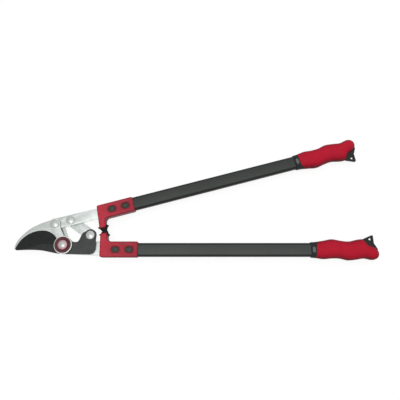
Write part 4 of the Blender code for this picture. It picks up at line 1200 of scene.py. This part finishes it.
def floor():
    """Pale floor that looks white to the camera and to reflections, and keeps the shadow."""
    material = bpy.data.materials.new("floor_white")
    material.use_nodes = True
    tree = material.node_tree
    tree.nodes.clear()
    ray = add_node(tree, "ShaderNodeLightPath")
    seen = add_node(tree, "ShaderNodeMath", ray["Is Camera Ray"], ray["Is Glossy Ray"],
                    operation="MAXIMUM")["Value"]
    plain, faint = (add_node(tree, "ShaderNodeBsdfDiffuse", (grey, grey, grey, 1))["BSDF"]
                    for grey in (FLOOR_GREY, FLOOR_SEEN_GREY))
    glow = add_node(tree, "ShaderNodeEmission", Strength=FLOOR_SEEN_GLOW)["Emission"]
    both = add_node(tree, "ShaderNodeAddShader", faint, glow)["Shader"]
    choose = add_node(tree, "ShaderNodeMixShader", seen, plain, both)["Shader"]
    add_node(tree, "ShaderNodeOutputMaterial", choose)
    bm = bmesh.new()
    bmesh.ops.create_grid(bm, x_segments=8, y_segments=8, size=FLOOR_HALF / MM)
    make("floor", bm, place((0, 0, -FLOOR_DROP)), material)


def world():
    """Soft grey light, stronger from one side and in reflections from another, white to the camera."""
    made = bpy.data.worlds.new("studio")
    scene.world = made
    made.use_nodes = True
    tree = made.node_tree
    background = tree.nodes["Background"].inputs
    background["Color"].default_value = (1, 1, 1, 1)
    ray = add_node(tree, "ShaderNodeLightPath")
    way = add_node(tree, "ShaderNodeTexCoord")["Generated"]
    levels = []
    for side, dim, bright in (WORLD_LIGHT, REFLECTED_LIGHT):
        facing = add_node(tree, "ShaderNodeVectorMath", way, side, operation="DOT_PRODUCT")["Value"]
        level = add_node(tree, "ShaderNodeMapRange", facing, From_Min=-1.0, To_Min=dim, To_Max=bright)
        levels.append(level["Result"])
    plain, reflected = levels
    either = add_node(tree, "ShaderNodeMapRange", ray["Is Glossy Ray"], To_Min=plain, To_Max=reflected)
    light = add_node(tree, "ShaderNodeMapRange", ray["Is Camera Ray"], To_Min=either["Result"],
                     To_Max=1.0)
    tree.links.new(light["Result"], background["Strength"])


def lamp(name, size, power, at, aim):
    """A square soft lamp that points at a place."""
    light = bpy.data.lights.new(name, "AREA")
    light.shape = "SQUARE"
    light.size = size
    light.energy = power
    made = put(name, light)
    made.location = at
    made.rotation_euler = (Vector(aim) - Vector(at)).to_track_quat("-Z", "Y").to_euler()
    return made


def camera():
    """The photograph's view: from above, a little from the lower handle's side."""
    data = bpy.data.cameras.new("camera")
    data.lens = CAMERA_LENS
    made = put("camera", data)
    made.location = BOLT_AT + CAMERA_FROM_BOLT * MM
    made.rotation_euler = (radians(CAMERA_TILT), 0, 0)
    scene.camera = made


def build():
    plates()
    cutting_blade()
    linkage_rivets()
    main_pivot()
    for handle in (LOWER, UPPER):
        for dress_part in (tube, socket, tube_rivets, bumper, grip_core, grip_plug, grip_sleeve,
                           insert_finish):
            dress_part(handle)
    floor()
    world()
    lamp("softbox", **SOFTBOX).visible_glossy = False
    lamp("glint", **GLINT).visible_diffuse = False
    camera()
    scene.view_settings.view_transform = "Standard"


build()
